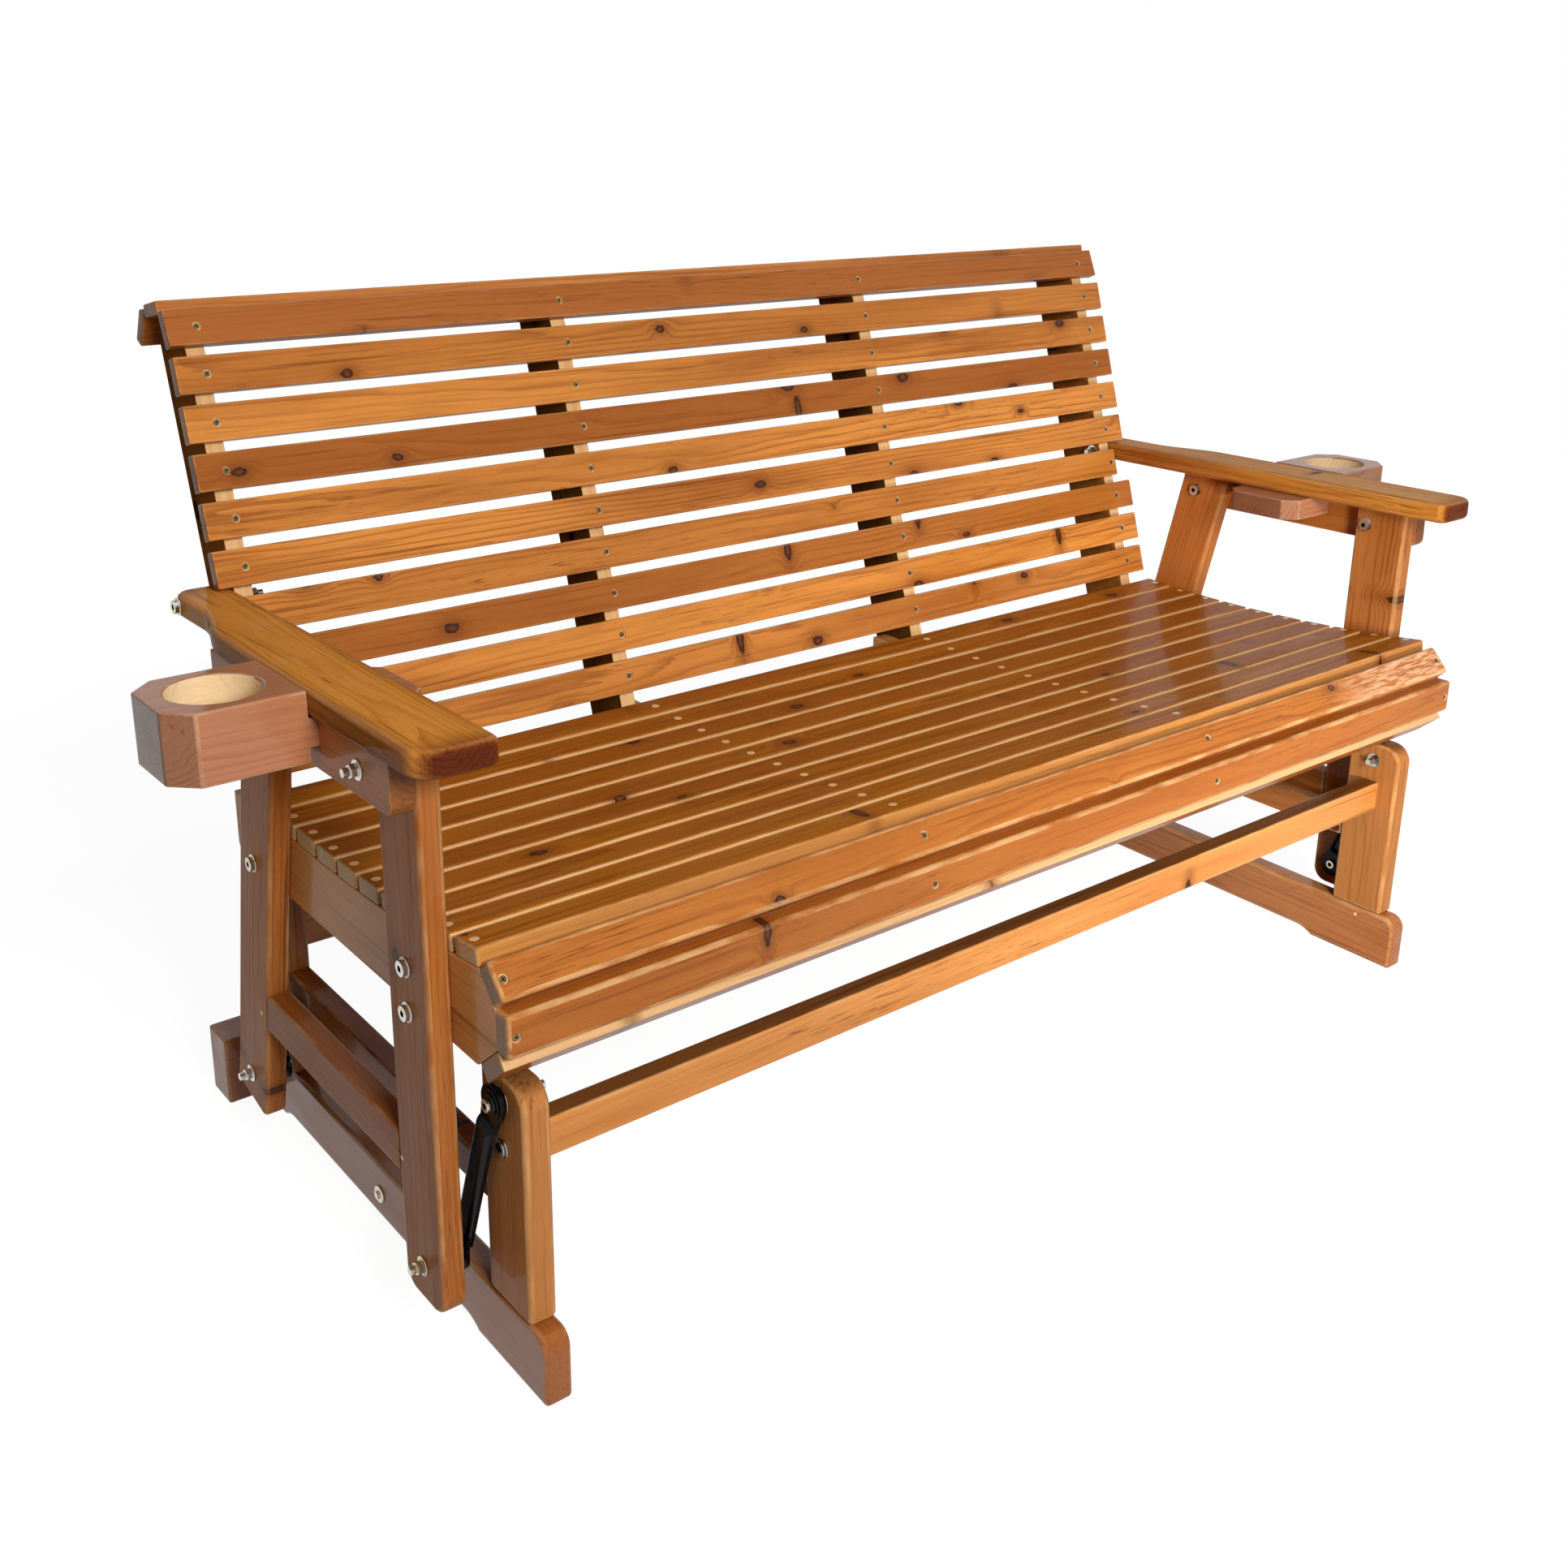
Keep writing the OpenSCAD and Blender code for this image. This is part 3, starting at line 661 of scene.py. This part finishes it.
def stand_in(piece: Piece, node: str, body: str, angle: float = SOFT) -> None:
    """Shades a dressed piece, leaves it one material and puts it in its node's place.

    Args:
        piece: The piece.
        node: The node it replaces.
        body: The body it rides on.
        angle: The sharpest smooth edge in degrees.
    """
    shade(piece, angle)
    for face in piece.data.polygons:
        face.material_index = 0
    while len(piece.data.materials) > 1:
        piece.data.materials.pop(index=1)
    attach(piece, body)
    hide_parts(node)
    log.info("%s: %d faces", piece.name, len(piece.data.polygons))


def cut(piece: Piece, cutters: list) -> None:
    """Takes cutters out of a piece and deletes them.

    Args:
        piece: The piece.
        cutters: The solids to take out.
    """
    if not cutters:
        return
    tool = join(cutters)
    bore = piece.modifiers.new("bore", "BOOLEAN")
    bore.operation = "DIFFERENCE"
    bore.solver = "EXACT"
    bore.object = tool
    apply_all(piece)
    bpy.data.objects.remove(tool)


def facing(way: Vector) -> Matrix:
    """The turn that stands +Z along a direction.

    Args:
        way: The direction.

    Returns:
        The turn as a 4 by 4 matrix.
    """
    return way.to_track_quat("Z", "Y").to_matrix().to_4x4()


def place(piece: Piece, spot: Vector, way: Vector) -> None:
    """Moves a mesh made about the origin to a place, facing a direction.

    Args:
        piece: The piece.
        spot: Where its origin goes.
        way: Where its +Z goes.
    """
    piece.data.transform(Matrix.Translation(spot) @ facing(way))
    piece.matrix_world = Matrix.Identity(4)


def disc(name: str, radius: float, depth: float, sides: int = 20) -> Piece:
    """A short round bar whose top is at the origin.

    Args:
        name: Its name.
        radius: Its radius.
        depth: Its height below the origin.
        sides: The number of sides.

    Returns:
        The bar.
    """
    bpy.ops.object.select_all(action="DESELECT")
    bpy.ops.mesh.primitive_cylinder_add(vertices=sides, radius=radius, depth=depth, location=(0, 0, -depth / 2))
    bar = bpy.context.active_object
    bar.name = name
    bpy.ops.object.transform_apply(location=True, rotation=True, scale=True)
    return bar


def borer(radius: float, deep: float, sides: int, spot: Vector, way: Vector) -> Piece:
    """The solid that cuts a hole into a face.

    Args:
        radius: The hole's radius.
        deep: Its depth.
        sides: The number of its sides.
        spot: Its middle on the face.
        way: Straight out of the face.

    Returns:
        The cutter.
    """
    bar = disc("borer", radius, deep * 2, sides)
    place(bar, spot + way * deep, way)
    return bar


# -------- timber


@dataclass
class Board:
    """One node of timber: its grain, rounding, bare faces and screw holes."""

    node: str
    body: str
    grain: Grain
    finish: Finish
    rounding: Rounding
    bare: Bare = Bare.NONE
    slot: str = "varnished_timber"
    holes: list = field(default_factory=list)
    hole_m: float = 0.0047
    hole_deep: float = 0.0026
    rubbed_from: float | None = None
    rubbed_run: float = 0.11
    lift_m: float = 0.0
    # Faces that face along shaded, either way, get painted shade.
    shaded: Vector | None = None

    def dress(self) -> None:
        """Makes the rounded, grained board that stands for the node."""
        piece = merged_copy(self.node, "timber_" + self.node, self.finish)
        if self.lift_m:
            top = max(vertex.co.z for vertex in piece.data.vertices)
            for vertex in piece.data.vertices:
                if vertex.co.z > top - self.lift_m:
                    vertex.co.z += self.lift_m
        seat = -outer_face(self.node)[1] if self.node in FACING else None
        soften(piece, self.rounding.value, TIMBER_BORE_EDGE, seat=seat)
        rounded = [face.material_index == 1 for face in piece.data.polygons]
        flag = piece.data.attributes.new("rounded", "FLOAT", "FACE")
        flag.data.foreach_set("value", [float(mark) for mark in rounded])
        cut(piece, [borer(self.hole_m, self.hole_deep, 18, spot, way) for spot, way in self.holes])
        self.mark(piece)
        stand_in(piece, self.node, self.body)

    def mark(self, piece: Piece) -> None:
        """Writes each board's own coordinates, and marks its ends, edges and bare faces.

        Args:
            piece: The piece to mark.
        """
        shape = bmesh.new()
        shape.from_mesh(piece.data)
        shape.faces.ensure_lookup_table()
        rounded = shape.faces.layers.float.get("rounded")
        grain = shape.verts.layers.float_vector.new("grain")
        marks = shape.loops.layers.float_color.new("marks")
        scuff = shape.verts.layers.float.new("scuff")
        reach = shape.verts.layers.float_vector.new("reach")
        side = shape.faces.layers.float.new("side")
        shape.normal_update()
        along = Vector(self.grain.value)
        for number, island in enumerate(islands(shape)):
            chance = random.Random(f"{self.node} {number}")
            widest = max(island, key=lambda face: face.calc_area())
            through = widest.normal - along * widest.normal.dot(along)
            through.normalize()
            across = through.cross(along)
            corners = {vertex for face in island for vertex in face.verts}
            middle = span([vertex.co for vertex in corners])[2]
            turn = chance.uniform(-1.0, 1.0)
            depth = chance.uniform(0.02, 0.075)
            start = Vector((chance.uniform(0, 60), depth * math.sin(turn), depth * math.cos(turn)))
            tone = chance.random()
            frame = Matrix((along, across, through))
            half = [max(abs((frame @ (vertex.co - middle))[axis]) for vertex in corners) for axis in range(3)]
            for vertex in corners:
                away = frame @ (vertex.co - middle)
                vertex[grain] = start + away
                vertex[reach] = Vector(away[axis] / half[axis] for axis in range(3))
                if self.rubbed_from is not None:
                    vertex[scuff] = (vertex.co.x - self.rubbed_from) / self.rubbed_run
            for face in island:
                edge = face[rounded] if rounded else 0.0
                bare = self.is_bare(face, across, middle)
                flat = abs(face.normal.dot(along))
                # side marks the faces that get painted shade.
                face[side] = 1.0 if self.shaded and abs(face.normal.dot(self.shaded)) > 0.9 else 0.0
                for loop in face.loops:
                    turned = flat if edge < 0.5 else abs(loop.vert.normal.dot(along))
                    loop[marks] = (min(1.0, max(0.0, (turned - END_FROM) / END_RUN)), edge, bare, tone)
        shape.to_mesh(piece.data)
        shape.free()

    def is_bare(self, face: bmesh.types.BMFace, across: Vector, middle: Vector) -> float:
        """How bare of varnish a face is.

        Args:
            face: The face.
            across: The board's width direction.
            middle: The middle of the board.

        Returns:
            0 for a varnished face and up to 1 for a bare one.
        """
        where = face.calc_center_median()
        for spot, way in self.holes:
            up = (where - spot).dot(way)
            if up < -SAME_FACE and (where - spot - way * up).length < self.hole_m * 1.03:
                return Bare.HOLE.value
        if self.bare is Bare.WELL:
            well = Vector((math.copysign(WELL_X, middle.x), WELL_Y))
            shown = (where.xy - well).length < WELL_R and WELL_FLOOR_Z < where.z < WELL_RIM_Z
        else:
            shown = {
                Bare.LONG_EDGES: abs(face.normal.dot(across)) > 0.9,
                Bare.FRONT: face.normal.y < -0.8,
                Bare.THIN_FRONT: face.normal.y < -0.7,
            }.get(self.bare, False)
        return self.bare.value if shown else 0.0


def islands(shape: bmesh.types.BMesh) -> list:
    """The faces of each separate solid in a mesh.

    Args:
        shape: The mesh.

    Returns:
        One list of faces for each solid, in the mesh's order.
    """
    seen: set = set()
    groups = []
    for first in shape.faces:
        if first.index in seen:
            continue
        seen.add(first.index)
        group, waiting = [], [first]
        while waiting:
            face = waiting.pop()
            group.append(face)
            for edge in face.edges:
                for other in edge.link_faces:
                    if other.index not in seen:
                        seen.add(other.index)
                        waiting.append(other)
        groups.append(group)
    return groups


def outer_face(node: str) -> tuple:
    """The middle and direction of a slat's show face.

    Args:
        node: The slat's node.

    Returns:
        The middle of the face, and the way it looks.
    """
    solid = bpy.data.objects[node].data
    best = max(solid.polygons, key=lambda face: face.area * (1 if face.normal.z - face.normal.y > 0 else 0))
    way = best.normal.copy()
    flat = [face for face in solid.polygons if face.normal.dot(way) > 0.999]
    return span([solid.vertices[index].co for face in flat for index in face.vertices])[2], way


# -------- sub-assemblies


@dataclass
class Screw:
    """A countersunk wood screw with a cross recess, sunk in its hole."""

    head_r: float = 0.0035
    head_m: float = 0.0012
    sunk: float = 0.0014
    arm: float = 0.0026
    slot_w: float = 0.0009
    slot_deep: float = 0.0008
    skin: float = 0.0001

    def model(self) -> Piece:
        """The screw's head about the origin, facing +Z.

        Returns:
            The head.
        """
        head = disc("screw", self.head_r, self.head_m, 18)
        bar_size = Matrix.Diagonal((self.arm * 2, self.slot_w, self.slot_deep * 2, 1.0))
        for turn in (0.0, math.pi / 2):
            bpy.ops.mesh.primitive_cube_add(size=1)
            bar = bpy.context.active_object
            bar.data.transform(Matrix.Rotation(turn, 4, "Z") @ bar_size)
            cut(head, [bar])
        # Painted shade in the cross recess.
        paint_shade_and_grime(head, lambda face: float(face.center.z < -self.skin and face.center.xy.length < self.arm * 1.1))
        return head


@dataclass
class Fixings:
    """Screws and plugs, modelled once and copied to each place."""

    screw_metal: Finish
    dowel: Finish
    back_x: tuple = (-0.6645, -0.234, 0.2305, 0.664)
    seat_x: tuple = (-0.691, -0.2216, 0.2186, 0.6905)
    plug_r: float = 0.0046
    plug_deep: float = 0.0016
    plug_proud: float = 0.0003
    pin_r: float = 0.0024

    def spots(self, node: str, columns: tuple) -> list:
        """Where a slat's screws stand.

        Args:
            node: The slat's node.
            columns: Their places along the bench.

        Returns:
            The middle of each and the way it looks.
        """
        middle, way = outer_face(node)
        return [(Vector((x, middle.y, middle.z)), way) for x in columns]

    def drive(self, name: str, spots: list, body: str) -> None:
        """Sets a row of screws as one piece.

        Args:
            name: The piece's name.
            spots: The middle of each hole and the way it looks.
            body: The body they ride on.
        """
        pattern = Screw()
        head = pattern.model()
        row = []
        for number, (spot, way) in enumerate(spots):
            copy = bpy.data.objects.new(name, head.data.copy())
            bpy.context.scene.collection.objects.link(copy)
            copy.data.transform(Matrix.Rotation(0.5 + 1.7 * number, 4, "Z"))
            place(copy, spot - way * pattern.sunk, way)
            row.append(copy)
        bpy.data.objects.remove(head)
        self.gather(name, row, self.screw_metal, body, "zinc_steel")

    def plug(self, name: str, spots: list, body: str, radius: float | None = None) -> None:
        """Sets a row of dowel plugs as one piece.

        Args:
            name: The piece's name.
            spots: The middle of each plug and the way it looks.
            body: The body they ride on.
            radius: The plugs' radius, if it isn't the usual one.
        """
        row = []
        for spot, way in spots:
            dowel = disc(name, radius or self.plug_r, self.plug_deep)
            ease(dowel, self.plug_proud, 2)
            place(dowel, spot + way * self.plug_proud, way)
            row.append(dowel)
        self.gather(name, row, self.dowel, body, "pale_timber")

    @staticmethod
    def gather(name: str, row: list, finish: Finish, body: str, slot: str) -> None:
        """Joins a row of small pieces, gives it its finish and sets it on its body.

        Args:
            name: The joined piece's name.
            row: The pieces.
            finish: Their material.
            body: Their body.
            slot: The material slot they stand for; not used.
        """
        joined = join(row)
        joined.name = name
        joined.data.materials.clear()
        joined.data.materials.append(finish)
        shade(joined, SMALL_SOFT)
        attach(joined, body)


@dataclass
class Seat:
    """The dished slats, their rails, and the nose."""

    timber: Finish
    front: Finish
    pale: Finish
    fixings: Fixings
    rubbed_from: float = 0.45
    lift_m: float = 0.0012

    def build(self) -> None:
        """Dresses the slats and rails and sets their plugs and screws."""
        plugs = []
        for number in SLATS:
            node = f"seat_slat_{number}"
            bare = Bare.LONG_EDGES if number < len(SLATS) else Bare.THIN_FRONT
            Board(node, "seat", Grain.BENCH, self.timber, Rounding.SEAT, bare).dress()
            plugs += self.fixings.spots(node, self.fixings.seat_x)
        self.fixings.plug("seat_plugs", plugs, "seat")
        screws = []
        for node, rubbed, lift in (("seat_nose_slat", self.rubbed_from, 0.0), ("seat_front_slat", None, self.lift_m)):
            spots = self.fixings.spots(node, self.fixings.seat_x)
            board = Board(node, "seat", Grain.BENCH, self.front, Rounding.NOSE, holes=spots)
            board.rubbed_from, board.lift_m = rubbed, lift
            board.dress()
            screws += spots
        self.fixings.drive("seat_front_screws", screws, "seat")
        Board("seat_under_slat", "seat", Grain.BENCH, self.front, Rounding.SEAT, Bare.LONG_EDGES).dress()
        for node in ("left_seat_end_rail", "right_seat_end_rail", "seat_middle_rails"):
            Board(node, "seat", Grain.DEPTH, self.pale, Rounding.RAIL, slot="pale_timber").dress()


@dataclass
class Back:
    """The leaning slats, the crest and the uprights behind them."""

    timber: Finish
    frame: Finish
    upright: Finish
    end_upright: Finish
    fixings: Fixings

    def build(self) -> None:
        """Dresses the back and drives its screws."""
        screws = []
        for number in SLATS:
            node = f"back_slat_{number}"
            spots = self.fixings.spots(node, self.fixings.back_x)
            finish = self.frame if number == 1 else self.timber
            Board(node, "seat", Grain.BENCH, finish, Rounding.BACK, holes=spots).dress()
            screws += spots
        self.fixings.drive("back_screws", screws, "seat")
        for node in ("crest_cap", "crest_rear_slat"):
            Board(node, "seat", Grain.BENCH, self.frame, Rounding.BACK).dress()
        for node, finish in (("back_end_uprights", self.end_upright), ("back_middle_uprights", self.upright)):
            board = Board(node, "seat", Grain.BACK, finish, Rounding.RAIL, Bare.FRONT, "pale_timber")
            # Painted shade on the uprights' sides between the slats.
            board.shaded = Vector((1, 0, 0))
            board.dress()


@dataclass
class Legs:
    """The seat's hanging legs and the rails between them."""

    timber: Finish
    rear: Finish
    fixings: Fixings
    outer_x: float = 0.724
    pins: tuple = ((0.1103, 0.1931), (-0.214, 0.1952))

    def build(self) -> None:
        """Dresses the legs and rails and sets the pins of their joints."""
        for side in SIDES:
            Board(f"{side}_front_leg", "seat", Grain.UPRIGHT, self.timber, Rounding.LEG).dress()
            Board(f"{side}_rear_leg", "seat", Grain.REAR_LEG, self.rear, Rounding.LEG).dress()
        Board("leg_rails", "seat", Grain.DEPTH, self.timber, Rounding.CROSS).dress()
        places = [(side, Vector((side * self.outer_x, *pin))) for side in (-1, 1) for pin in self.pins]
        spots = [(spot, Vector((side, 0, 0))) for side, spot in places]
        self.fixings.plug("leg_pins", spots, "seat", self.fixings.pin_r)


@dataclass
class Arms:
    """The armrests, the rails that stiffen them and the cup holders with their bare wells."""

    timber: Finish
    frame: Finish
    cup: Finish

    def build(self) -> None:
        """Dresses the boards of both sides."""
        for side in SIDES:
            Board(f"{side}_armrest", "seat", Grain.ARMREST, self.timber, Rounding.ARMREST).dress()
        Board("under_arm_rails", "seat", Grain.ARMREST, self.frame, Rounding.CROSS).dress()
        for side in SIDES:
            Board(f"{side}_cup_holder", "seat", Grain.BENCH, self.cup, Rounding.SEAT, Bare.WELL).dress()


@dataclass
class Base:
    """The fixed frames, the stretchers and the cross blocks behind the feet."""

    timber: Finish
    post: Finish
    foot: Finish
    pale: Finish
    zinc: Finish
    fixings: Fixings
    foot_outer_x: float = 0.674
    foot_inner_x: float = 0.646
    pin: tuple = (-0.3157, 0.0608)
    bolt: tuple = (-0.0448, 0.0368)
    bolt_r: float = 0.0095
    bolt_deep: float = 0.0034
    bolt_round: float = 0.0016
    bolt_proud: float = 0.0024
    recess_r: float = 0.0048
    recess_deep: float = 0.0022

    def build(self) -> None:
        """Dresses the base."""
        for side in SIDES:
            Board(f"{side}_foot", "base", Grain.DEPTH, self.foot, Rounding.BASE).dress()
            for post in ("front_post", "rear_post"):
                Board(f"{side}_{post}", "base", Grain.UPRIGHT, self.post, Rounding.BASE).dress()
        Board("base_side_rails", "base", Grain.DEPTH, self.timber, Rounding.CROSS).dress()
        Board("rear_ground_beam", "base", Grain.BENCH, self.foot, Rounding.CROSS).dress()
        for node in ("front_stretcher", "rear_stretcher"):
            # Painted shade on the stretchers' tops and bottoms, under the seat.
            Board(node, "base", Grain.BENCH, self.pale, Rounding.CROSS, shaded=Vector((0, 0, 1))).dress()
        pins = [(Vector((side * self.foot_inner_x, *self.pin)), Vector((-side, 0, 0))) for side in (-1, 1)]
        self.fixings.plug("foot_pins", pins, "base", self.fixings.pin_r)
        self.foot_bolts()

    def foot_bolts(self) -> None:
        """Sets a round bolt head on the outer face of each foot."""
        heads = []
        rim, deep = self.recess_r * 1.02, -self.recess_deep * 1.1
        for side in (-1, 1):
            head = disc("foot_bolts", self.bolt_r, self.bolt_deep, 28)
            ease(head, self.bolt_round, 3)
            recess = disc("recess", self.recess_r, self.recess_deep * 2, 6)
            recess.data.transform(Matrix.Translation((0, 0, self.recess_deep)))
            cut(head, [recess])
            # Painted shade in the hexagon recess.
            paint_shade_and_grime(head, lambda face: float(face.center.xy.length < rim and deep < face.center.z < -SAME_FACE))
            place(head, Vector((side * (self.foot_outer_x + self.bolt_proud), *self.bolt)), Vector((side, 0, 0)))
            heads.append(head)
        self.fixings.gather("foot_bolts", heads, self.zinc, "base", "zinc_steel")


@dataclass
class Steelwork:
    """The pressed glide arms and every bolt."""

    paint: Finish
    zinc: Finish
    socket_r: float = 0.0034
    socket_deep: float = 0.0028
    arm_round: float = 0.0011
    bolt_round: float = 0.0005
    flat_shade_and_grime: float = 0.72

    def build(self) -> None:
        """Dresses the arms and the bolts."""
        for side in SIDES:
            for end in ("front", "rear"):
                arm = f"{side}_{end}_glide_arm"
                self.metal(arm, f"{side}_{end}_arm", self.paint, "black_steel", self.arm_round, [])
        for kind in ("upper_pivot", "stretcher"):
            self.bolts(f"{kind}_bolts", "base")
        for kind in ("lower_pivot", "leg", "armrest"):
            self.bolts(f"{kind}_bolts", "seat")

    def bolts(self, node: str, body: str) -> None:
        """Dresses a node of bolts, with a hexagon socket in each head, which is the wider end.

        Args:
            node: The node's name.
            body: Its body.
        """
        shape = bmesh.new()
        shape.from_mesh(bpy.data.objects[node].data)
        bmesh.ops.remove_doubles(shape, verts=shape.verts, dist=SAME_SPOT)
        sockets, axes = [], []
        for island in islands(shape):
            spots = [vertex.co for face in island for vertex in face.verts]
            low, high, middle = span(spots)
            radii = [
                max((spot - middle).yz.length for spot in spots if abs(spot.x - end) < SAME_FACE / 2)
                for end in (low.x, high.x)
            ]
            way = Vector((1.0 if radii[1] > radii[0] else -1.0, 0, 0))
            spot = Vector((high.x if way.x > 0 else low.x, middle.y, middle.z))
            sockets.append(borer(self.socket_r, self.socket_deep, 6, spot, way))
            axes.append((spot, way))
        shape.free()

        def shade_and_grime_share(face: bpy.types.MeshPolygon) -> float:
            """How dark a face is drawn: a socket's fully, as painted shade, and the washers' flats less, as painted
            shade and grime.

            Args:
                face: The face.

            Returns:
                The dirt from 0 to 1.
            """
            middle = face.center
            spot, way = min(axes, key=lambda axis: (middle - axis[0]).yz.length + abs(middle.x - axis[0].x))
            aside = (middle - spot).yz.length
            sunk = (spot - middle).dot(way)
            if SAME_FACE < sunk < self.socket_deep * 1.1 and aside < self.socket_r * 1.05:
                return 1.0
            flat = abs(face.normal.x) > 0.95 and aside > self.socket_r * 1.1 and sunk > 0.001
            return self.flat_shade_and_grime if flat else 0.0

        # Painted shade in the sockets and on the washers' flats, with grime.
        paint_shade_and_grime(self.metal(node, body, self.zinc, "zinc_steel", self.bolt_round, sockets), shade_and_grime_share)

    @staticmethod
    def metal(node: str, body: str, finish: Finish, slot: str, width: float, cutters: list) -> Piece:
        """Dresses one steel node.

        Args:
            node: The node's name.
            body: Its body.
            finish: Its material.
            slot: The material slot it stands for; not used.
            width: The rounding of its edges.
            cutters: Solids to take out of it.

        Returns:
            The new piece.
        """
        piece = merged_copy(node, "steel_" + node, finish)
        soften(piece, width, STEEL_BORE_EDGE, 2)
        cut(piece, cutters)
        stand_in(piece, node, body, STEEL_SOFT)
        return piece


@dataclass(frozen=True)
class Lamp:
    """A soft lamp that looks at the bench."""

    name: str
    spot: tuple
    watts: float
    size: tuple
    mirrored: bool = False
    target: tuple = (0.0, -0.05, 0.5)
    beam: float = math.pi

    def hang(self) -> None:
        """Adds the lamp to the scene."""
        data = bpy.data.lights.new(self.name, "AREA")
        data.energy = self.watts
        data.shape = "RECTANGLE"
        data.size, data.size_y = self.size
        data.spread = self.beam
        lamp = bpy.data.objects.new(self.name, data)
        lamp.visible_glossy = self.mirrored
        bpy.context.scene.collection.objects.link(lamp)
        lamp.matrix_world = Matrix.Translation(self.spot) @ facing(Vector(self.spot) - Vector(self.target))


@dataclass
class Studio:
    """The pale floor, the soft lamps and the camera."""

    camera_spot: tuple = (-1.285342, -1.45528, 1.12498)
    yaw: float = 0.681
    pitch: float = 0.313
    roll: float = 0.017
    lens: float = 38.85
    shift: tuple = (-0.00408, -0.0928)
    floor_m: float = 400.0
    floor_gap: float = 0.0004
    floor_grey: tuple = (0.42, 0.42, 0.42, 1.0)
    floor_share: float = 0.6
    floor_glow: float = 1.56
    near_m: float = 1.6
    far_m: float = 4.0
    sky_light: float = 0.15
    lamps: tuple = (
        Lamp("key", (-0.85, -2.5, 1.75), 80, (1.0, 0.8)),
        Lamp("gleam", (-0.5, -1.4, 3.3), 6.5, (0.16, 0.16), mirrored=True),
        Lamp("side", (-0.6, -1.9, 0.5), 3.7, (0.3, 0.3), target=(0.66, -0.2, 0.24), beam=math.radians(52)),
    )

    def build(self) -> None:
        """Sets the floor, the sky, the lamps and the camera."""
        bpy.context.scene.view_settings.view_transform = "Standard"
        self.floor()
        self.sky()
        for lamp in self.lamps:
            lamp.hang()
        self.camera()

    def floor(self) -> None:
        """Lays the pale floor."""
        bpy.ops.mesh.primitive_plane_add(size=self.floor_m, location=(0, 0, -self.floor_gap))
        ground = bpy.context.active_object
        ground.name = "floor"
        sheet = ShaderSheet("pale floor")
        matt = sheet.add("BsdfDiffuse", {"Color": self.floor_grey})
        reach = sheet.vector("LENGTH", sheet.add("TexCoord").outputs["Object"])
        strength = sheet.fit(reach, self.near_m, self.far_m, self.floor_glow, 1.0)
        glow = sheet.add("Emission", {"Color": WHITE, "Strength": strength})
        share = sheet.fit(reach, self.near_m, self.far_m, self.floor_share, 1.0)
        share = sheet.math("MULTIPLY", sheet.seen(), share)
        both = sheet.add("MixShader", {0: share, 1: matt.outputs[0], 2: glow.outputs[0]})
        sheet.add("OutputMaterial", {"Surface": both.outputs[0]})
        ground.data.materials.append(sheet.owner)

    def sky(self) -> None:
        """Makes the white surroundings, which light the shadows less than they show."""
        sheet = ShaderSheet("studio", sky=True)
        strength = sheet.fit(sheet.seen(), 0.0, 1.0, self.sky_light, 1.0)
        back = sheet.add("Background", {"Color": WHITE, "Strength": strength})
        sheet.add("OutputWorld", {"Surface": back.outputs[0]})
        bpy.context.scene.world = sheet.owner

    def camera(self) -> None:
        """Stands the camera where the bench is seen from its front left corner."""
        data = bpy.data.cameras.new("camera")
        data.sensor_width = 36.0
        data.lens = self.lens
        data.shift_x, data.shift_y = self.shift
        turn = Matrix.Rotation(-self.yaw, 4, "Z") @ Matrix.Rotation(math.pi / 2 - self.pitch, 4, "X")
        turn @= Matrix.Rotation(self.roll, 4, "Z")
        camera = bpy.data.objects.new("camera", data)
        camera.matrix_world = Matrix.Translation(self.camera_spot) @ turn
        bpy.context.scene.collection.objects.link(camera)
        bpy.context.scene.camera = camera


def main() -> None:
    """Loads the frame, dresses each sub-assembly and sets the studio."""
    logging.basicConfig(level=logging.INFO, format="%(message)s")
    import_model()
    wood = {name: VarnishedTimber(f"{name} timber", **recipe).build() for name, recipe in TIMBERS.items()}
    zinc = ZINC.build()
    fixings = Fixings(SCREW.build(), DOWEL.build())
    Seat(wood["seat"], wood["front"], wood["pale"], fixings).build()
    Back(wood["golden"], wood["frame"], wood["upright"], wood["end upright"], fixings).build()
    Legs(wood["leg"], wood["rear leg"], fixings).build()
    Arms(wood["armrest"], wood["frame"], wood["cup"]).build()
    Base(wood["leg"], wood["post"], wood["foot"], wood["pale"], zinc, fixings).build()
    Steelwork(BLACK.build(), zinc).build()
    Studio().build()
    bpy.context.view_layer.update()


if __name__ == "__main__":
    main()
